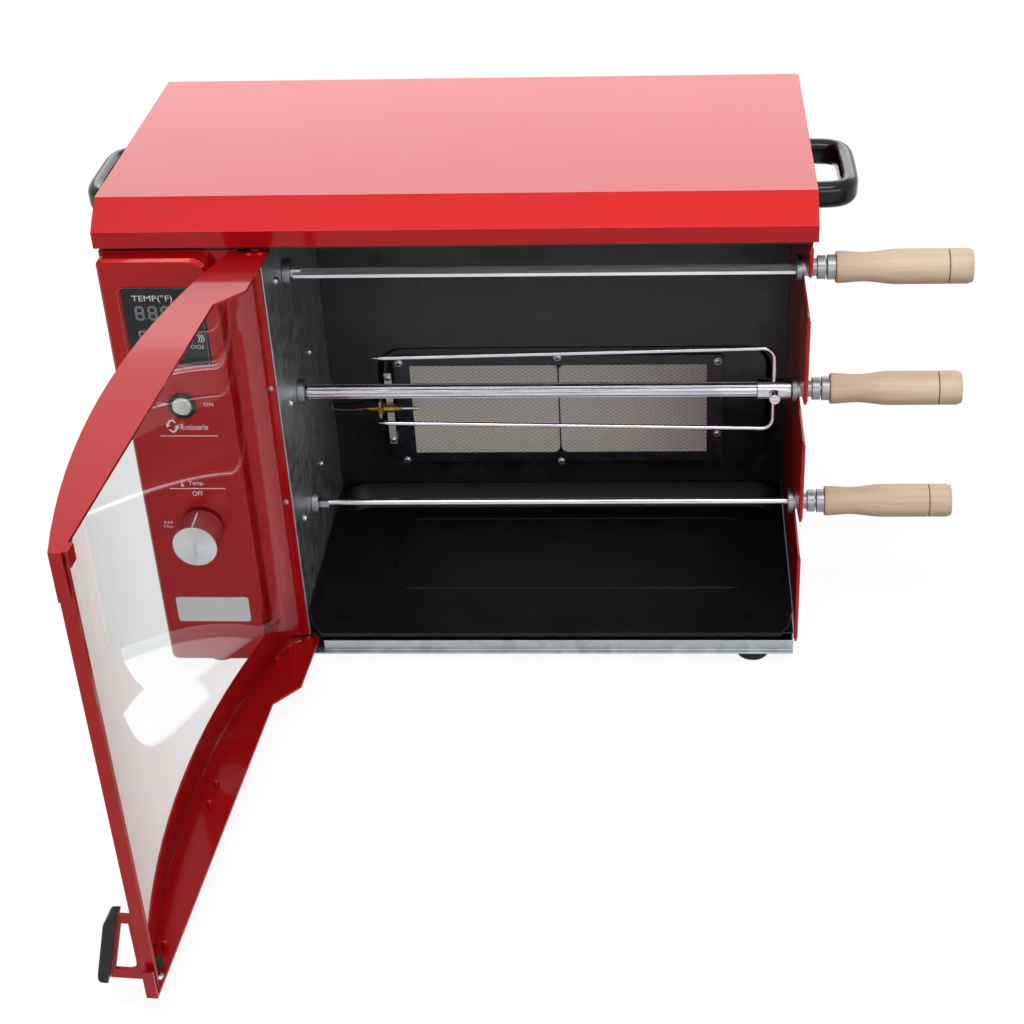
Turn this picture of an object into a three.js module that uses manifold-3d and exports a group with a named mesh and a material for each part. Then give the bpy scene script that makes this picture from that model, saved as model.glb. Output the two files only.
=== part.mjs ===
// Counter-top gas rotisserie grill: three geared skewers, a bow-front glass door, an infrared
// burner in the back wall, a pull-out drip tray and a control panel on the left.
// Millimetres, +Z up. While it is modelled, X runs from the hood's left side, Y from the
// hood's front lip towards the back and Z from the table. At the end the whole grill is moved
// so that its origin is the middle of its footprint on the table, with the door open.
import * as THREE from 'three';
import * as BufferGeometryUtils from 'three/addons/utils/BufferGeometryUtils.js';
import Module from 'manifold-3d';

const wasm = await Module();
wasm.setup();

// Overall sizes
const hoodWidth = 620;
const hoodDepth = 311;
const overallHeight = 485;
const footHeight = 15;

// Sheets and clearances
const sheet = 1.5;
const lining = 1.2;
const seat = 0.3;
const runningGap = 0.4;
const overrun = 2;

// Hood
const bevelDepth = 27;
const bevelHeight = 21;
const lipHeight = 15;

// Housing walls
const sideInset = 3;
const frontInset = 3;
const controlWidth = 142.5;
const rightWallThickness = 2;
const rightWallInset = 4.5;
const serviceDepth = 73;
const roofDrop = 38;
const floorRise = 21;
const wallHeadroom = 1.3;

// Skewers and their drive
const lowSkewerRise = 99;
const topSkewerDrop = 62;
const skewerSetback = 86;
const neckRadius = 8;
const tangRadius = 3;
const tangInGrip = 72;

// Door
const pivotSetback = 5;
const pivotInset = 3.5;
const doorTipInset = 13.5;
const doorOpenAngle = 94;
const doorBow = 32;
const hingeEndBow = 22;
const tipBow = 17.5;
const doorHeadroom = 2.8;
const doorFootroom = 12.5;
const railPlate = 2.5;
const railFlange = 32;
const glassThickness = 4;

// Tray
const trayFrontInset = 1.7;
const trayHeight = 26;

// Controls
const panelProud = 15;
const hingeStrip = 41;
const panelHeadroom = 3;
const panelLift = 0.5;
const knobRadius = 21;
const knobLength = 35;
const pushTravel = 3;
const rockerTilt = 10;

// Burner and the recess round it
const burnerMargin = 64;
const burnerRise = 49;
const burnerTall = 127;
const recessLeftMargin = 47.5;
const recessRightMargin = 13.5;
const recessRise = 40;
const recessTall = 151;
const recessDepth = 8;

// Places worked out from the sizes above
const hoodBottom = overallHeight - bevelHeight - lipHeight;
const casingLeft = sideInset;
const casingFront = frontInset;
const rearFace = hoodDepth - sheet - seat;
const wallRight = hoodWidth - rightWallInset;
const wallRightInner = wallRight - rightWallThickness;
const roofHeight = overallHeight - roofDrop;
const wallTop = roofHeight - wallHeadroom;
const baseTop = footHeight + sheet;
const floorHeight = footHeight + floorRise;
const cavityBack = hoodDepth - serviceDepth;
const pivotX = controlWidth - pivotInset;
const pivotY = pivotSetback;
const doorReach = wallRight - doorTipInset - pivotX;
const railTopHeight = roofHeight - doorHeadroom;
const railBottomHeight = baseTop + doorFootroom;
const panelFront = casingFront - panelProud;
const panelLeft = casingLeft;
const panelRight = controlWidth - hingeStrip;
const panelTop = roofHeight - panelHeadroom;
const panelBottom = footHeight + panelLift;
const burnerLeft = controlWidth + burnerMargin;
const burnerRight = wallRightInner - burnerMargin;
const burnerLow = floorHeight + burnerRise;
const burnerHigh = burnerLow + burnerTall;
const recessLeft = controlWidth + recessLeftMargin;
const recessRight = wallRightInner - recessRightMargin;
const recessLow = floorHeight + recessRise;
const recessHigh = recessLow + recessTall;
const trayDepth = cavityBack - seat - trayFrontInset;
const skewerNames = ['low', 'middle', 'top'];
const lowSkewerHeight = floorHeight + lowSkewerRise;
const topSkewerHeight = roofHeight - topSkewerDrop;
const skewerPitch = (topSkewerHeight - lowSkewerHeight) / (skewerNames.length - 1);
const skewerHeights = skewerNames.map((name, row) => lowSkewerHeight + row * skewerPitch);

// Places on the control panel, as shares of its width and height
const controlColumnShare = 0.54;
const knobHeightShare = 0.3664;
const rockerHeightShare = 0.6674;
const displayLeftShare = 0.1777;
const displayRightShare = 0.8782;
const displayLowShare = 0.7631;
const displayHighShare = 0.9382;
const acrossPanel = (share) => panelLeft + (panelRight - panelLeft) * share;
const upPanel = (share) => panelBottom + (panelTop - panelBottom) * share;
const controlColumn = acrossPanel(controlColumnShare);
const knobHeight = upPanel(knobHeightShare);
const rockerHeight = upPanel(rockerHeightShare);
const displayLeft = acrossPanel(displayLeftShare);
const displayRight = acrossPanel(displayRightShare);
const displayLow = upPanel(displayLowShare);
const displayHigh = upPanel(displayHighShare);

// Axis directions as [first, second, extrusion] for a flat outline
const xAxis = new THREE.Vector3(1, 0, 0);
const yAxis = new THREE.Vector3(0, 1, 0);
const zAxis = new THREE.Vector3(0, 0, 1);
const outlineBases = {
  x: [yAxis, zAxis, xAxis],
  y: [xAxis, zAxis, yAxis.clone().negate()],
  z: [xAxis, yAxis, zAxis],
};

// Turns a closed three.js geometry into a solid that can be cut and joined.
function solidOf(geometry) {
  const bare = geometry.clone();
  bare.deleteAttribute('normal');
  bare.deleteAttribute('uv');
  const merged = BufferGeometryUtils.mergeVertices(bare);
  const corners = merged.index.array;
  const faces = [];
  for (let i = 0; i < corners.length; i += 3) {
    const [a, b, c] = [corners[i], corners[i + 1], corners[i + 2]];
    if (a !== b && b !== c && c !== a) {
      faces.push(a, b, c);
    }
  }
  return new wasm.Manifold(new wasm.Mesh({
    numProp: 3,
    vertProperties: merged.attributes.position.array,
    triVerts: new Uint32Array(faces),
  }));
}

// A flat outline, given in the two directions across the axis, extruded between two places.
function prism(shape, axis, from, to, curveSegments = 3) {
  const depth = to - from;
  const geometry = new THREE.ExtrudeGeometry(shape, { depth, bevelEnabled: false, curveSegments });
  const [first, second, along] = outlineBases[axis];
  const place = new THREE.Matrix4().makeBasis(first, second, along);
  const start = axis === 'y' ? yAxis.clone().multiplyScalar(to) : along.clone().multiplyScalar(from);
  place.setPosition(start);
  geometry.applyMatrix4(place);
  return solidOf(geometry);
}

function polygon(points) {
  return new THREE.Shape(points.map(([u, v]) => new THREE.Vector2(u, v)));
}

function box(low, high) {
  const size = high.map((value, i) => value - low[i]);
  const geometry = new THREE.BoxGeometry(...size);
  geometry.translate(...low.map((value, i) => value + size[i] / 2));
  return solidOf(geometry);
}

// A cylinder along one axis through a point given by its two other coordinates, in X, Y, Z order.
function cylinder(axis, centre, radius, from, to, sides = 20) {
  const circle = new THREE.Shape();
  circle.absarc(centre[0], centre[1], radius, 0, 2 * Math.PI);
  return prism(circle, axis, from, to, sides / 2);
}

function roundedRectangle(left, low, right, high, radius, rightRadius = radius) {
  const shape = new THREE.Shape();
  shape.moveTo(left + radius, low);
  shape.absarc(right - rightRadius, low + rightRadius, rightRadius, -Math.PI / 2, 0);
  shape.absarc(right - rightRadius, high - rightRadius, rightRadius, 0, Math.PI / 2);
  shape.absarc(left + radius, high - radius, radius, Math.PI / 2, Math.PI);
  shape.absarc(left + radius, low + radius, radius, Math.PI, 1.5 * Math.PI);
  return shape;
}

// A solid turned about the X axis from [place, radius] pairs, moved to a line through (y, z).
function turned(profile, y, z, sides = 24) {
  const points = profile.map(([place, radius]) => new THREE.Vector2(radius, place));
  const geometry = new THREE.LatheGeometry(points, sides);
  geometry.rotateZ(-Math.PI / 2);
  geometry.translate(0, y, z);
  return solidOf(geometry);
}

// Rounds a path's corners: each one becomes a short curve that begins a bend's length before it.
function roundedPath(points, bend, steps = 4) {
  const corners = points.map((point) => new THREE.Vector3(...point));
  const path = [corners[0]];
  for (let i = 1; i < corners.length - 1; i += 1) {
    const corner = corners[i];
    const beside = (other) => corner.clone().add(other.clone().sub(corner).setLength(bend));
    const ends = [beside(corners[i - 1]), beside(corners[i + 1])];
    const curve = new THREE.QuadraticBezierCurve3(ends[0], corner, ends[1]);
    path.push(...curve.getPoints(steps));
  }
  path.push(corners[corners.length - 1]);
  return path;
}

// A rod of oval section along a path. Its first radius is along the normal, its second across it.
function sweep(path, tall, wide, normal, sides) {
  const positions = [];
  const faces = [];
  const rings = path.length;
  let up = normal.clone();
  path.forEach((point, i) => {
    const next = path[Math.min(i + 1, rings - 1)];
    const tangent = next.clone().sub(path[Math.max(i - 1, 0)]).normalize();
    up = up.addScaledVector(tangent, -up.dot(tangent)).normalize();
    const across = tangent.clone().cross(up);
    for (let j = 0; j < sides; j += 1) {
      const angle = (2 * Math.PI * j) / sides;
      const place = point.clone()
        .addScaledVector(across, wide * Math.cos(angle))
        .addScaledVector(up, tall * Math.sin(angle));
      positions.push(place.x, place.y, place.z);
    }
  });
  const ring = (i, j) => i * sides + (j % sides);
  for (let i = 0; i < rings - 1; i += 1) {
    for (let j = 0; j < sides; j += 1) {
      faces.push(ring(i, j), ring(i + 1, j + 1), ring(i, j + 1));
      faces.push(ring(i, j), ring(i + 1, j), ring(i + 1, j + 1));
    }
  }
  for (let j = 1; j < sides - 1; j += 1) {
    faces.push(ring(0, 0), ring(0, j), ring(0, j + 1));
    faces.push(ring(rings - 1, 0), ring(rings - 1, j + 1), ring(rings - 1, j));
  }
  const geometry = new THREE.BufferGeometry();
  geometry.setAttribute('position', new THREE.Float32BufferAttribute(positions, 3));
  geometry.setIndex(faces);
  return solidOf(geometry);
}

// A closed skin through outlines with equally many points, each at its own height.
function loft(layers) {
  const count = layers[0].points.length;
  const positions = [];
  for (const { points, height } of layers) {
    for (const point of points) {
      positions.push(point.x, point.y, height);
    }
  }
  const faces = [];
  for (let layer = 0; layer < layers.length - 1; layer += 1) {
    for (let i = 0; i < count; i += 1) {
      const a = layer * count + i;
      const b = layer * count + (i + 1) % count;
      faces.push(a, b, b + count, a, b + count, a + count);
    }
  }
  const last = (layers.length - 1) * count;
  for (const [a, b, c] of THREE.ShapeUtils.triangulateShape(layers[0].points, [])) {
    faces.push(a, c, b, last + a, last + b, last + c);
  }
  const geometry = new THREE.BufferGeometry();
  geometry.setAttribute('position', new THREE.Float32BufferAttribute(positions, 3));
  geometry.setIndex(faces);
  return solidOf(geometry);
}

function roundedLoop(left, low, right, high, radius, rightRadius = radius, segments = 2) {
  const outline = roundedRectangle(left, low, right, high, radius, rightRadius);
  const points = outline.extractPoints(segments).shape;
  return points.slice(0, points[0].equals(points[points.length - 1]) ? -1 : points.length);
}

function union(solids) {
  return solids.reduce((whole, piece) => whole.add(piece));
}

function cut(solid, tools) {
  return tools.reduce((rest, tool) => rest.subtract(tool), solid);
}

// Finishes: colour, roughness and metalness
const finishes = {
  redPaint: [0xb3121a, 0.25, 0.1],
  galvanised: [0x8d9290, 0.45, 0.8],
  blackEnamel: [0x15171a, 0.2, 0.2],
  blackPlastic: [0x111214, 0.3, 0],
  rubber: [0x1c1c1c, 0.9, 0],
  steel: [0xb9bcc0, 0.25, 1],
  aluminium: [0xc3c5c8, 0.3, 1],
  brass: [0xb8923f, 0.35, 1],
  beech: [0xd9b78c, 0.6, 0],
  glass: [0xe8f2f0, 0.05, 0],
  ceramic: [0xb5aba0, 0.9, 0],
  nylon: [0xe6e2d6, 0.5, 0],
  creamPlastic: [0xe9e6da, 0.4, 0],
};

function meshOf(name, solid, finish) {
  const { vertProperties, triVerts } = solid.getMesh();
  const geometry = new THREE.BufferGeometry();
  geometry.setAttribute('position', new THREE.BufferAttribute(vertProperties, 3));
  geometry.setIndex(new THREE.BufferAttribute(triVerts, 1));
  geometry.computeVertexNormals();
  const [color, roughness, metalness] = finishes[finish];
  const material = new THREE.MeshStandardMaterial({ color, roughness, metalness });
  const mesh = new THREE.Mesh(geometry, material);
  mesh.name = name;
  return mesh;
}

const grill = new THREE.Group();

function addPiece(name, solid, finish, parent = grill) {
  parent.add(meshOf(name, solid, finish));
}

// The hood is a folded sheet box, open below, with a bevel above its front lip.
function hoodOutline(inset) {
  const bevelAngle = Math.atan2(bevelHeight, bevelDepth);
  const lipTurn = Math.tan((Math.PI / 2 - bevelAngle) / 2);
  const topTurn = Math.tan(bevelAngle / 2);
  const low = inset > 0 ? hoodBottom - overrun : hoodBottom;
  return polygon([
    [inset, low],
    [hoodDepth - inset, low],
    [hoodDepth - inset, overallHeight - inset],
    [bevelDepth + inset * topTurn, overallHeight - inset],
    [inset, overallHeight - bevelHeight - inset * lipTurn],
  ]);
}

function makeHood() {
  const outside = prism(hoodOutline(0), 'x', 0, hoodWidth);
  const inside = prism(hoodOutline(sheet), 'x', sheet, hoodWidth - sheet);
  addPiece('hood', outside.subtract(inside), 'redPaint');
}

// Room round the door's pivots that every fixed sheet leaves free.
const pivotClearRadius = 15.5;
const pivotClearHeight = railBottomHeight + railPlate + 2 * sheet;
const pivotClearTop = railTopHeight - railPlate - 2 * sheet;

function pivotNotches() {
  const centre = [pivotX, pivotY];
  return [
    cylinder('z', centre, pivotClearRadius, footHeight, pivotClearHeight),
    cylinder('z', centre, pivotClearRadius, pivotClearTop, overallHeight),
  ];
}

// The casing round the controls: a front wall and a side wall folded from one sheet.
const windowMargin = 12;

function makeCasing() {
  const front = [casingLeft, casingFront];
  const outline = polygon([
    front,
    [controlWidth - lining - seat, front[1]],
    [controlWidth - lining - seat, front[1] + sheet],
    [front[0] + sheet, front[1] + sheet],
    [front[0] + sheet, rearFace - sheet - seat],
    [front[0], rearFace - sheet - seat],
  ]);
  const window = box(
    [casingLeft + windowMargin, casingFront - overrun, panelBottom + windowMargin],
    [panelRight - panelDraft - windowMargin, casingFront + sheet + overrun, panelTop - windowMargin]);
  const wall = prism(outline, 'z', baseTop + seat, wallTop);
  addPiece('control_casing', cut(wall, [window, ...pivotNotches()]), 'redPaint');
}

// The control panel is a pressed pan, standing proud of the casing, with its larger corners right.
const panelLeftCorner = 6;
const panelRightCorner = 18;
const panelDraft = 2.5;
const displayCorner = 5;
const rockerBezelRadius = 12.7;
const rockerBodyRadius = 10.4;
const spindleHoleRadius = 6;

function panelPan(inset) {
  const outline = (draft) => roundedLoop(
    panelLeft + inset + draft, panelBottom + inset + draft,
    panelRight - inset - draft, panelTop - inset - draft,
    panelLeftCorner - inset, panelRightCorner - inset, 3);
  const back = casingFront - seat + (inset > 0 ? overrun : 0);
  const depth = back - panelFront - inset;
  const pan = loft([
    { points: outline(0), height: 0 },
    { points: outline(0), height: depth - panelDraft },
    { points: outline(panelDraft), height: depth },
  ]);
  return pan.transform([1, 0, 0, 0, 0, 0, 1, 0, 0, -1, 0, 0, 0, back, 0, 1]);
}

function makePanel() {
  const display = roundedRectangle(displayLeft, displayLow, displayRight, displayHigh, displayCorner);
  const from = panelFront - overrun;
  const to = panelFront + sheet + overrun;
  const pan = cut(panelPan(0), [
    panelPan(sheet),
    prism(display, 'y', from, to),
    cylinder('y', [controlColumn, rockerHeight], rockerBodyRadius + seat, from, to),
    cylinder('y', [controlColumn, knobHeight], spindleHoleRadius, from, to, 16),
  ]);
  addPiece('control_panel', pan, 'redPaint');
}

// The display module is a glossy window with its circuit box behind it.
const displayBezel = 1.2;
const displayBoxDepth = 22;
const displayBoxMargin = 4;

function makeDisplay() {
  const window = prism(roundedRectangle(
    displayLeft + seat, displayLow + seat, displayRight - seat, displayHigh - seat,
    displayCorner), 'y', panelFront - displayBezel, panelFront + sheet + overrun);
  const circuitRight = displayRight + displayBoxMargin - windowMargin;
  const circuit = box(
    [displayLeft - displayBoxMargin, panelFront + sheet + seat, displayLow - displayBoxMargin],
    [circuitRight, panelFront + displayBoxDepth, displayHigh + displayBoxMargin]);
  addPiece('display_module', window.add(circuit), 'blackPlastic');
}

// The rocker switch has a round bezel with a snap-in body, and a button that tilts in it.
const bezelProud = 2.2;
const rockerDepth = 16;
const rockerButtonRadius = 9;
const rockerWell = 7;
const rockerCrown = 4.5;

function makeRocker() {
  const centre = [controlColumn, rockerHeight];
  const lip = panelFront - bezelProud;
  const ring = cylinder('y', centre, rockerBezelRadius, lip, panelFront - seat);
  const body = cylinder('y', centre, rockerBodyRadius, lip, panelFront + rockerDepth);
  const wellRadius = rockerButtonRadius + runningGap;
  const well = cylinder('y', centre, wellRadius, lip - overrun, panelFront + rockerWell);
  addPiece('rocker_bezel', ring.add(body).subtract(well), 'blackPlastic');
}

function makeRockerButton() {
  const swing = new THREE.Group();
  swing.position.set(controlColumn, panelFront, rockerHeight);
  swing.rotation.z = -THREE.MathUtils.degToRad(rockerTilt);
  const radius = rockerButtonRadius - runningGap;
  const puck = cylinder('y', [0, 0], radius, -rockerCrown, rockerCrown - overrun);
  const dishRadius = 2 * radius + rockerCrown / 3;
  const dish = cylinder(
    'z', [0, -rockerCrown - 2 * radius], dishRadius, -radius - overrun, radius + overrun, 40);
  addPiece('rocker_button', puck.subtract(dish), 'creamPlastic', swing);
  grill.add(swing);
}

// The gas valve behind the panel, its spindle that pushes in, and the knob on it.
const valveRadius = 17;
const valveLength = 34;
const valveFront = 10;
const portRadius = 6;
const portLength = 12;
const spindleRadius = 4;
const knobSkirt = 6;

function makeValve() {
  const centre = [controlColumn, knobHeight];
  const front = casingFront + sheet + valveFront;
  const middle = front + valveLength / 2;
  const portReach = valveRadius + portLength;
  const body = cylinder('y', centre, valveRadius, front, front + valveLength);
  const noseRadius = spindleRadius + 2 * sheet;
  const nose = cylinder('y', centre, noseRadius, panelFront + sheet + seat, front + seat, 16);
  const ports = cylinder(
    'z', [controlColumn, middle], portRadius, knobHeight - portReach, knobHeight + portReach, 12);
  const hole = cylinder('y', centre, spindleRadius + runningGap, panelFront - overrun, middle, 16);
  addPiece('gas_valve', union([body, nose, ports]).subtract(hole), 'brass');
}

function makeSpindle() {
  const centre = [controlColumn, knobHeight];
  const back = casingFront + sheet + valveFront + valveLength / 2 - pushTravel - seat;
  const spindle = cylinder('y', centre, spindleRadius, panelFront - knobLength / 2, back, 16);
  addPiece('valve_spindle', spindle, 'brass');
}

// The knob: a turned body with a chamfered face, a skirt and a bore for the spindle.
function makeKnob() {
  const back = panelFront - pushTravel - seat;
  const front = panelFront - knobLength;
  const chamfer = sheet;
  const bore = spindleRadius + seat;
  const boreEnd = panelFront - knobLength / 2 - seat;
  const skirtRadius = knobRadius - sheet;
  const body = turned([
    [front, 0],
    [front, knobRadius - chamfer],
    [front + chamfer, knobRadius],
    [back - knobSkirt, knobRadius],
    [back, skirtRadius],
    [back, bore],
    [boreEnd, bore],
    [boreEnd, 0],
  ], 0, 0, 32);
  const pointerWidth = sheet;
  const pointer = box(
    [front - pointerWidth / 2, -pointerWidth / 2, knobRadius / 4],
    [front + pointerWidth / 2, pointerWidth / 2, knobRadius - 2 * chamfer]);
  const knob = body.subtract(pointer).rotate([0, 0, 90]).translate([controlColumn, 0, knobHeight]);
  addPiece('knob', knob, 'aluminium');
}

// The inner left wall carries the drive sockets; the low hole lets the sensor lead through.
const socketShankRadius = 6;
const leadRadius = 1.3;
const sensorRise = 78;
const sensorStandoff = 10;
const sensorHeight = burnerLow + sensorRise;
const sensorSetback = cavityBack - sensorStandoff;

function makeLeftWall() {
  const wall = box(
    [controlWidth - lining, casingFront, baseTop + seat],
    [controlWidth, cavityBack - seat, wallTop]);
  const holes = skewerHeights.map((height) => cylinder(
    'x', [skewerSetback, height], socketShankRadius + runningGap,
    controlWidth - lining - overrun, controlWidth + overrun, 16));
  const lead = cylinder('x', [sensorSetback, sensorHeight], leadRadius + runningGap,
    controlWidth - lining - overrun, controlWidth + overrun, 10);
  addPiece('cavity_left_wall', cut(wall, [...holes, lead, ...pivotNotches()]), 'galvanised');
}

// The right wall is a slotted sheet. Each slot is open at the front, wide at its mouth, and
// ends in a round seat for a skewer's neck. Its front edges are hemmed.
const seatRadius = neckRadius + seat;
const mouthRise = 27;
const rightWallLift = 9;
const noseRadius = 5;
const hemWidth = 4;

function slotShape(height) {
  const shape = new THREE.Shape();
  shape.moveTo(casingFront - hemWidth, height - seatRadius);
  shape.lineTo(skewerSetback, height - seatRadius);
  shape.absarc(skewerSetback, height, seatRadius, -Math.PI / 2, Math.PI / 2);
  shape.lineTo(casingFront + noseRadius, height + mouthRise);
  shape.lineTo(casingFront - hemWidth, height + mouthRise + noseRadius);
  return shape;
}

function fingerHem(low, high) {
  const middle = wallRight - rightWallThickness / 2;
  return cylinder('z', [middle, casingFront + hemWidth / 2], hemWidth / 2, low, high, 8);
}

function makeRightWall() {
  const low = footHeight + rightWallLift;
  const rear = rearFace - sheet - seat;
  const outline = roundedRectangle(casingFront, low, rear, wallTop, noseRadius);
  const sheetWall = prism(outline, 'x', wallRightInner, wallRight);
  const slots = skewerHeights.map((height) => prism(
    slotShape(height), 'x', wallRightInner - overrun, wallRight + overrun, 8));
  const above = mouthRise + noseRadius;
  const below = seatRadius + noseRadius;
  const hemStarts = [low + noseRadius, ...skewerHeights.map((height) => height + above)];
  const hemEnds = [...skewerHeights.map((height) => height - below), wallTop - noseRadius];
  const hems = hemStarts.map((start, i) => fingerHem(start, hemEnds[i]));
  addPiece('right_wall', union([cut(sheetWall, slots), ...hems]), 'redPaint');
}

// The back wall is pressed with a shallow rounded recess round the burner's opening.
const recessCorner = 28;
const recessDraft = 6;

function recessLoft(grow, from, to) {
  const edge = (inset) => roundedLoop(
    recessLeft - grow + inset, recessLow - grow + inset,
    recessRight + grow - inset, recessHigh + grow - inset,
    recessCorner + grow - inset);
  const pan = loft([{ points: edge(0), height: 0 }, { points: edge(recessDraft), height: to - from }]);
  return pan.transform([1, 0, 0, 0, 0, 0, 1, 0, 0, 1, 0, 0, 0, from, 0, 1]);
}

function makeBackWall() {
  const back = cavityBack + lining;
  const panel = box(
    [controlWidth + seat, cavityBack, floorHeight + seat],
    [wallRightInner - seat, back, wallTop]);
  const outside = recessLoft(0, cavityBack, back + recessDepth);
  const inside = recessLoft(-lining, cavityBack - seat, back + recessDepth - lining);
  const opening = box(
    [plenumLeft - seat, cavityBack - overrun, plenumLow - seat],
    [plenumRight + seat, back + recessDepth + overrun, plenumHigh + seat]);
  addPiece('back_wall', cut(panel.add(outside), [inside, opening]), 'blackEnamel');
}

// The burner: a steel plenum with a mixing tube, a front frame, and two ceramic tiles.
const frameBorder = 10;
const frameSide = 16;
const frameSheet = 2;
const plenumDepth = 34;
const tileGap = 1.5;
const tileThickness = 12;
const tileBorder = 1;
const mixerRadius = 11;
const mixerLength = 95;
const mixerHeight = (burnerLow + burnerHigh) / 2;
const plenumBack = cavityBack + lining + recessDepth + plenumDepth;
const mixerSetback = plenumBack - mixerRadius - 2 * lining;
const plenumLeft = burnerLeft + frameSide;
const plenumRight = burnerRight - frameSide;
const plenumLow = burnerLow + frameBorder;
const plenumHigh = burnerHigh - frameBorder;

function makeBurner() {
  const frameBack = cavityBack + recessDepth - seat;
  const frameFront = frameBack - frameSheet;
  const outline = roundedRectangle(burnerLeft, burnerLow, burnerRight, burnerHigh, frameBorder / 2);
  const frame = prism(outline, 'y', frameFront, frameBack);
  const plenum = box(
    [plenumLeft, frameFront + frameSheet / 2, plenumLow],
    [plenumRight, plenumBack, plenumHigh]);
  const window = box(
    [plenumLeft + tileBorder, frameFront - overrun, plenumLow + tileBorder],
    [plenumRight - tileBorder, plenumBack - lining, plenumHigh - tileBorder]);
  const centre = [mixerSetback, mixerHeight];
  const mouth = plenumLeft - mixerLength;
  const mixer = cylinder('x', centre, mixerRadius, mouth, plenumLeft + tileBorder / 2);
  const boreRadius = mixerRadius - lining;
  const bore = cylinder('x', centre, boreRadius, mouth - overrun, plenumLeft + 2 * tileBorder);
  addPiece('burner_body', cut(union([frame, plenum, mixer]), [window, bore]), 'blackEnamel');
}

function makeTiles() {
  const left = plenumLeft + tileBorder + seat;
  const right = plenumRight - tileBorder - seat;
  const middle = (left + right) / 2;
  const front = cavityBack + recessDepth - frameSheet;
  const spans = [
    ['burner_tile_left', left, middle - tileGap / 2],
    ['burner_tile_right', middle + tileGap / 2, right],
  ];
  for (const [name, from, to] of spans) {
    const tile = box(
      [from, front, plenumLow + tileBorder + seat],
      [to, front + tileThickness, plenumHigh - tileBorder - seat]);
    addPiece(name, tile, 'ceramic');
  }
}

// The flame sensor lies in front of the left tile on a steel strip.
const sensorBodyLength = 40;
const sensorBodyOverlap = 5.5;
const sensorTipOverlap = 26.5;
const sensorRadius = 3;
const stripWidth = 7.5;
const stripRise = 30;
const stripDrop = 13;

function makeSensor() {
  const bodyRight = burnerLeft + sensorBodyOverlap;
  const bodyLeft = bodyRight - sensorBodyLength;
  const tip = burnerLeft + sensorTipOverlap;
  const sensor = turned([
    [controlWidth - 2 * sensorRadius, 0],
    [controlWidth - 2 * sensorRadius, leadRadius],
    [bodyLeft, leadRadius],
    [bodyLeft, sensorRadius],
    [bodyRight, sensorRadius],
    [bodyRight, sensorRadius / 2],
    [tip, sensorRadius / 2],
    [tip, 0],
  ], sensorSetback, sensorHeight, 12);
  addPiece('flame_sensor', sensor, 'brass');
}

function makeSensorStrip() {
  const front = sensorSetback + sensorRadius + seat;
  const right = burnerLeft - seat;
  const left = right - stripWidth;
  const low = burnerLow + stripRise;
  const strip = box([left, front, low], [right, front + lining, burnerHigh - stripDrop]);
  const foot = box(
    [left, front + lining / 2, low],
    [right, cavityBack + recessDepth - seat, low + stripWidth]);
  addPiece('sensor_strip', strip.add(foot), 'steel');
}

// Roof, floor, base and rear cover close the housing.
const flangeHeight = 14;
const baseReach = 5;
const baseRight = wallRight - rightWallThickness / 2 - hemWidth / 2 - seat;
const ventCount = 5;
const ventWidth = 44;
const ventHeight = 5;
const ventPitch = 66;
const ventRows = 2;
const ventRowPitch = 16;
const ventDrop = 67;
const inletInset = 67;
const inletRise = 43.5;
const inletRadius = 8;
const inletColumn = casingLeft + inletInset;
const inletHeight = baseTop + inletRise;

function makeRoof() {
  const left = casingLeft + sheet + seat;
  const rear = rearFace - sheet - seat;
  const plate = box([left, sheet + seat, roofHeight], [wallRight, rear, roofHeight + lining]);
  const flange = box(
    [left, rear - lining, roofHeight + lining / 2],
    [wallRight, rear, roofHeight + flangeHeight]);
  const slotHalf = gearRadius / 2;
  const gearSlot = box(
    [gearPlace - 2 * sheet, skewerSetback - slotHalf, roofHeight - overrun],
    [gearPlace + gearFace + 2 * sheet, skewerSetback + slotHalf, roofHeight + flangeHeight]);
  addPiece('cavity_roof', plate.add(flange).subtract(gearSlot), 'galvanised');
}

function makeFloor() {
  const plate = box(
    [controlWidth + seat, casingFront + sheet, floorHeight - sheet],
    [baseRight - lining - seat, cavityBack + lining, floorHeight]);
  addPiece('cavity_floor', plate, 'blackEnamel');
}

// The base pan reaches a little further forward beside the control panel. Its front edge turns up
// into a sill that stays below the closed door's rail.
function makeBase() {
  const left = casingLeft + sheet + seat;
  const rear = rearFace - sheet - seat;
  const plate = box([left, casingFront - baseReach, footHeight], [baseRight, rear, baseTop]);
  const step = box(
    [left - overrun, casingFront - baseReach - overrun, footHeight - overrun],
    [panelRight + seat, casingFront, baseTop + overrun]);
  const low = footHeight + sheet / 2;
  const rightFlange = box([baseRight - lining, casingFront, low], [baseRight, rear, floorHeight]);
  const rearFlange = box([left, rear - lining, low], [baseRight, rear, footHeight + flangeHeight]);
  const sill = box(
    [pivotX + pivotClearRadius, casingFront, low],
    [baseRight, casingFront + lining, railBottomHeight - sheet]);
  const pan = union([plate.subtract(step), rightFlange, rearFlange, sill]);
  addPiece('base_pan', pan, 'galvanised');
}

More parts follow.
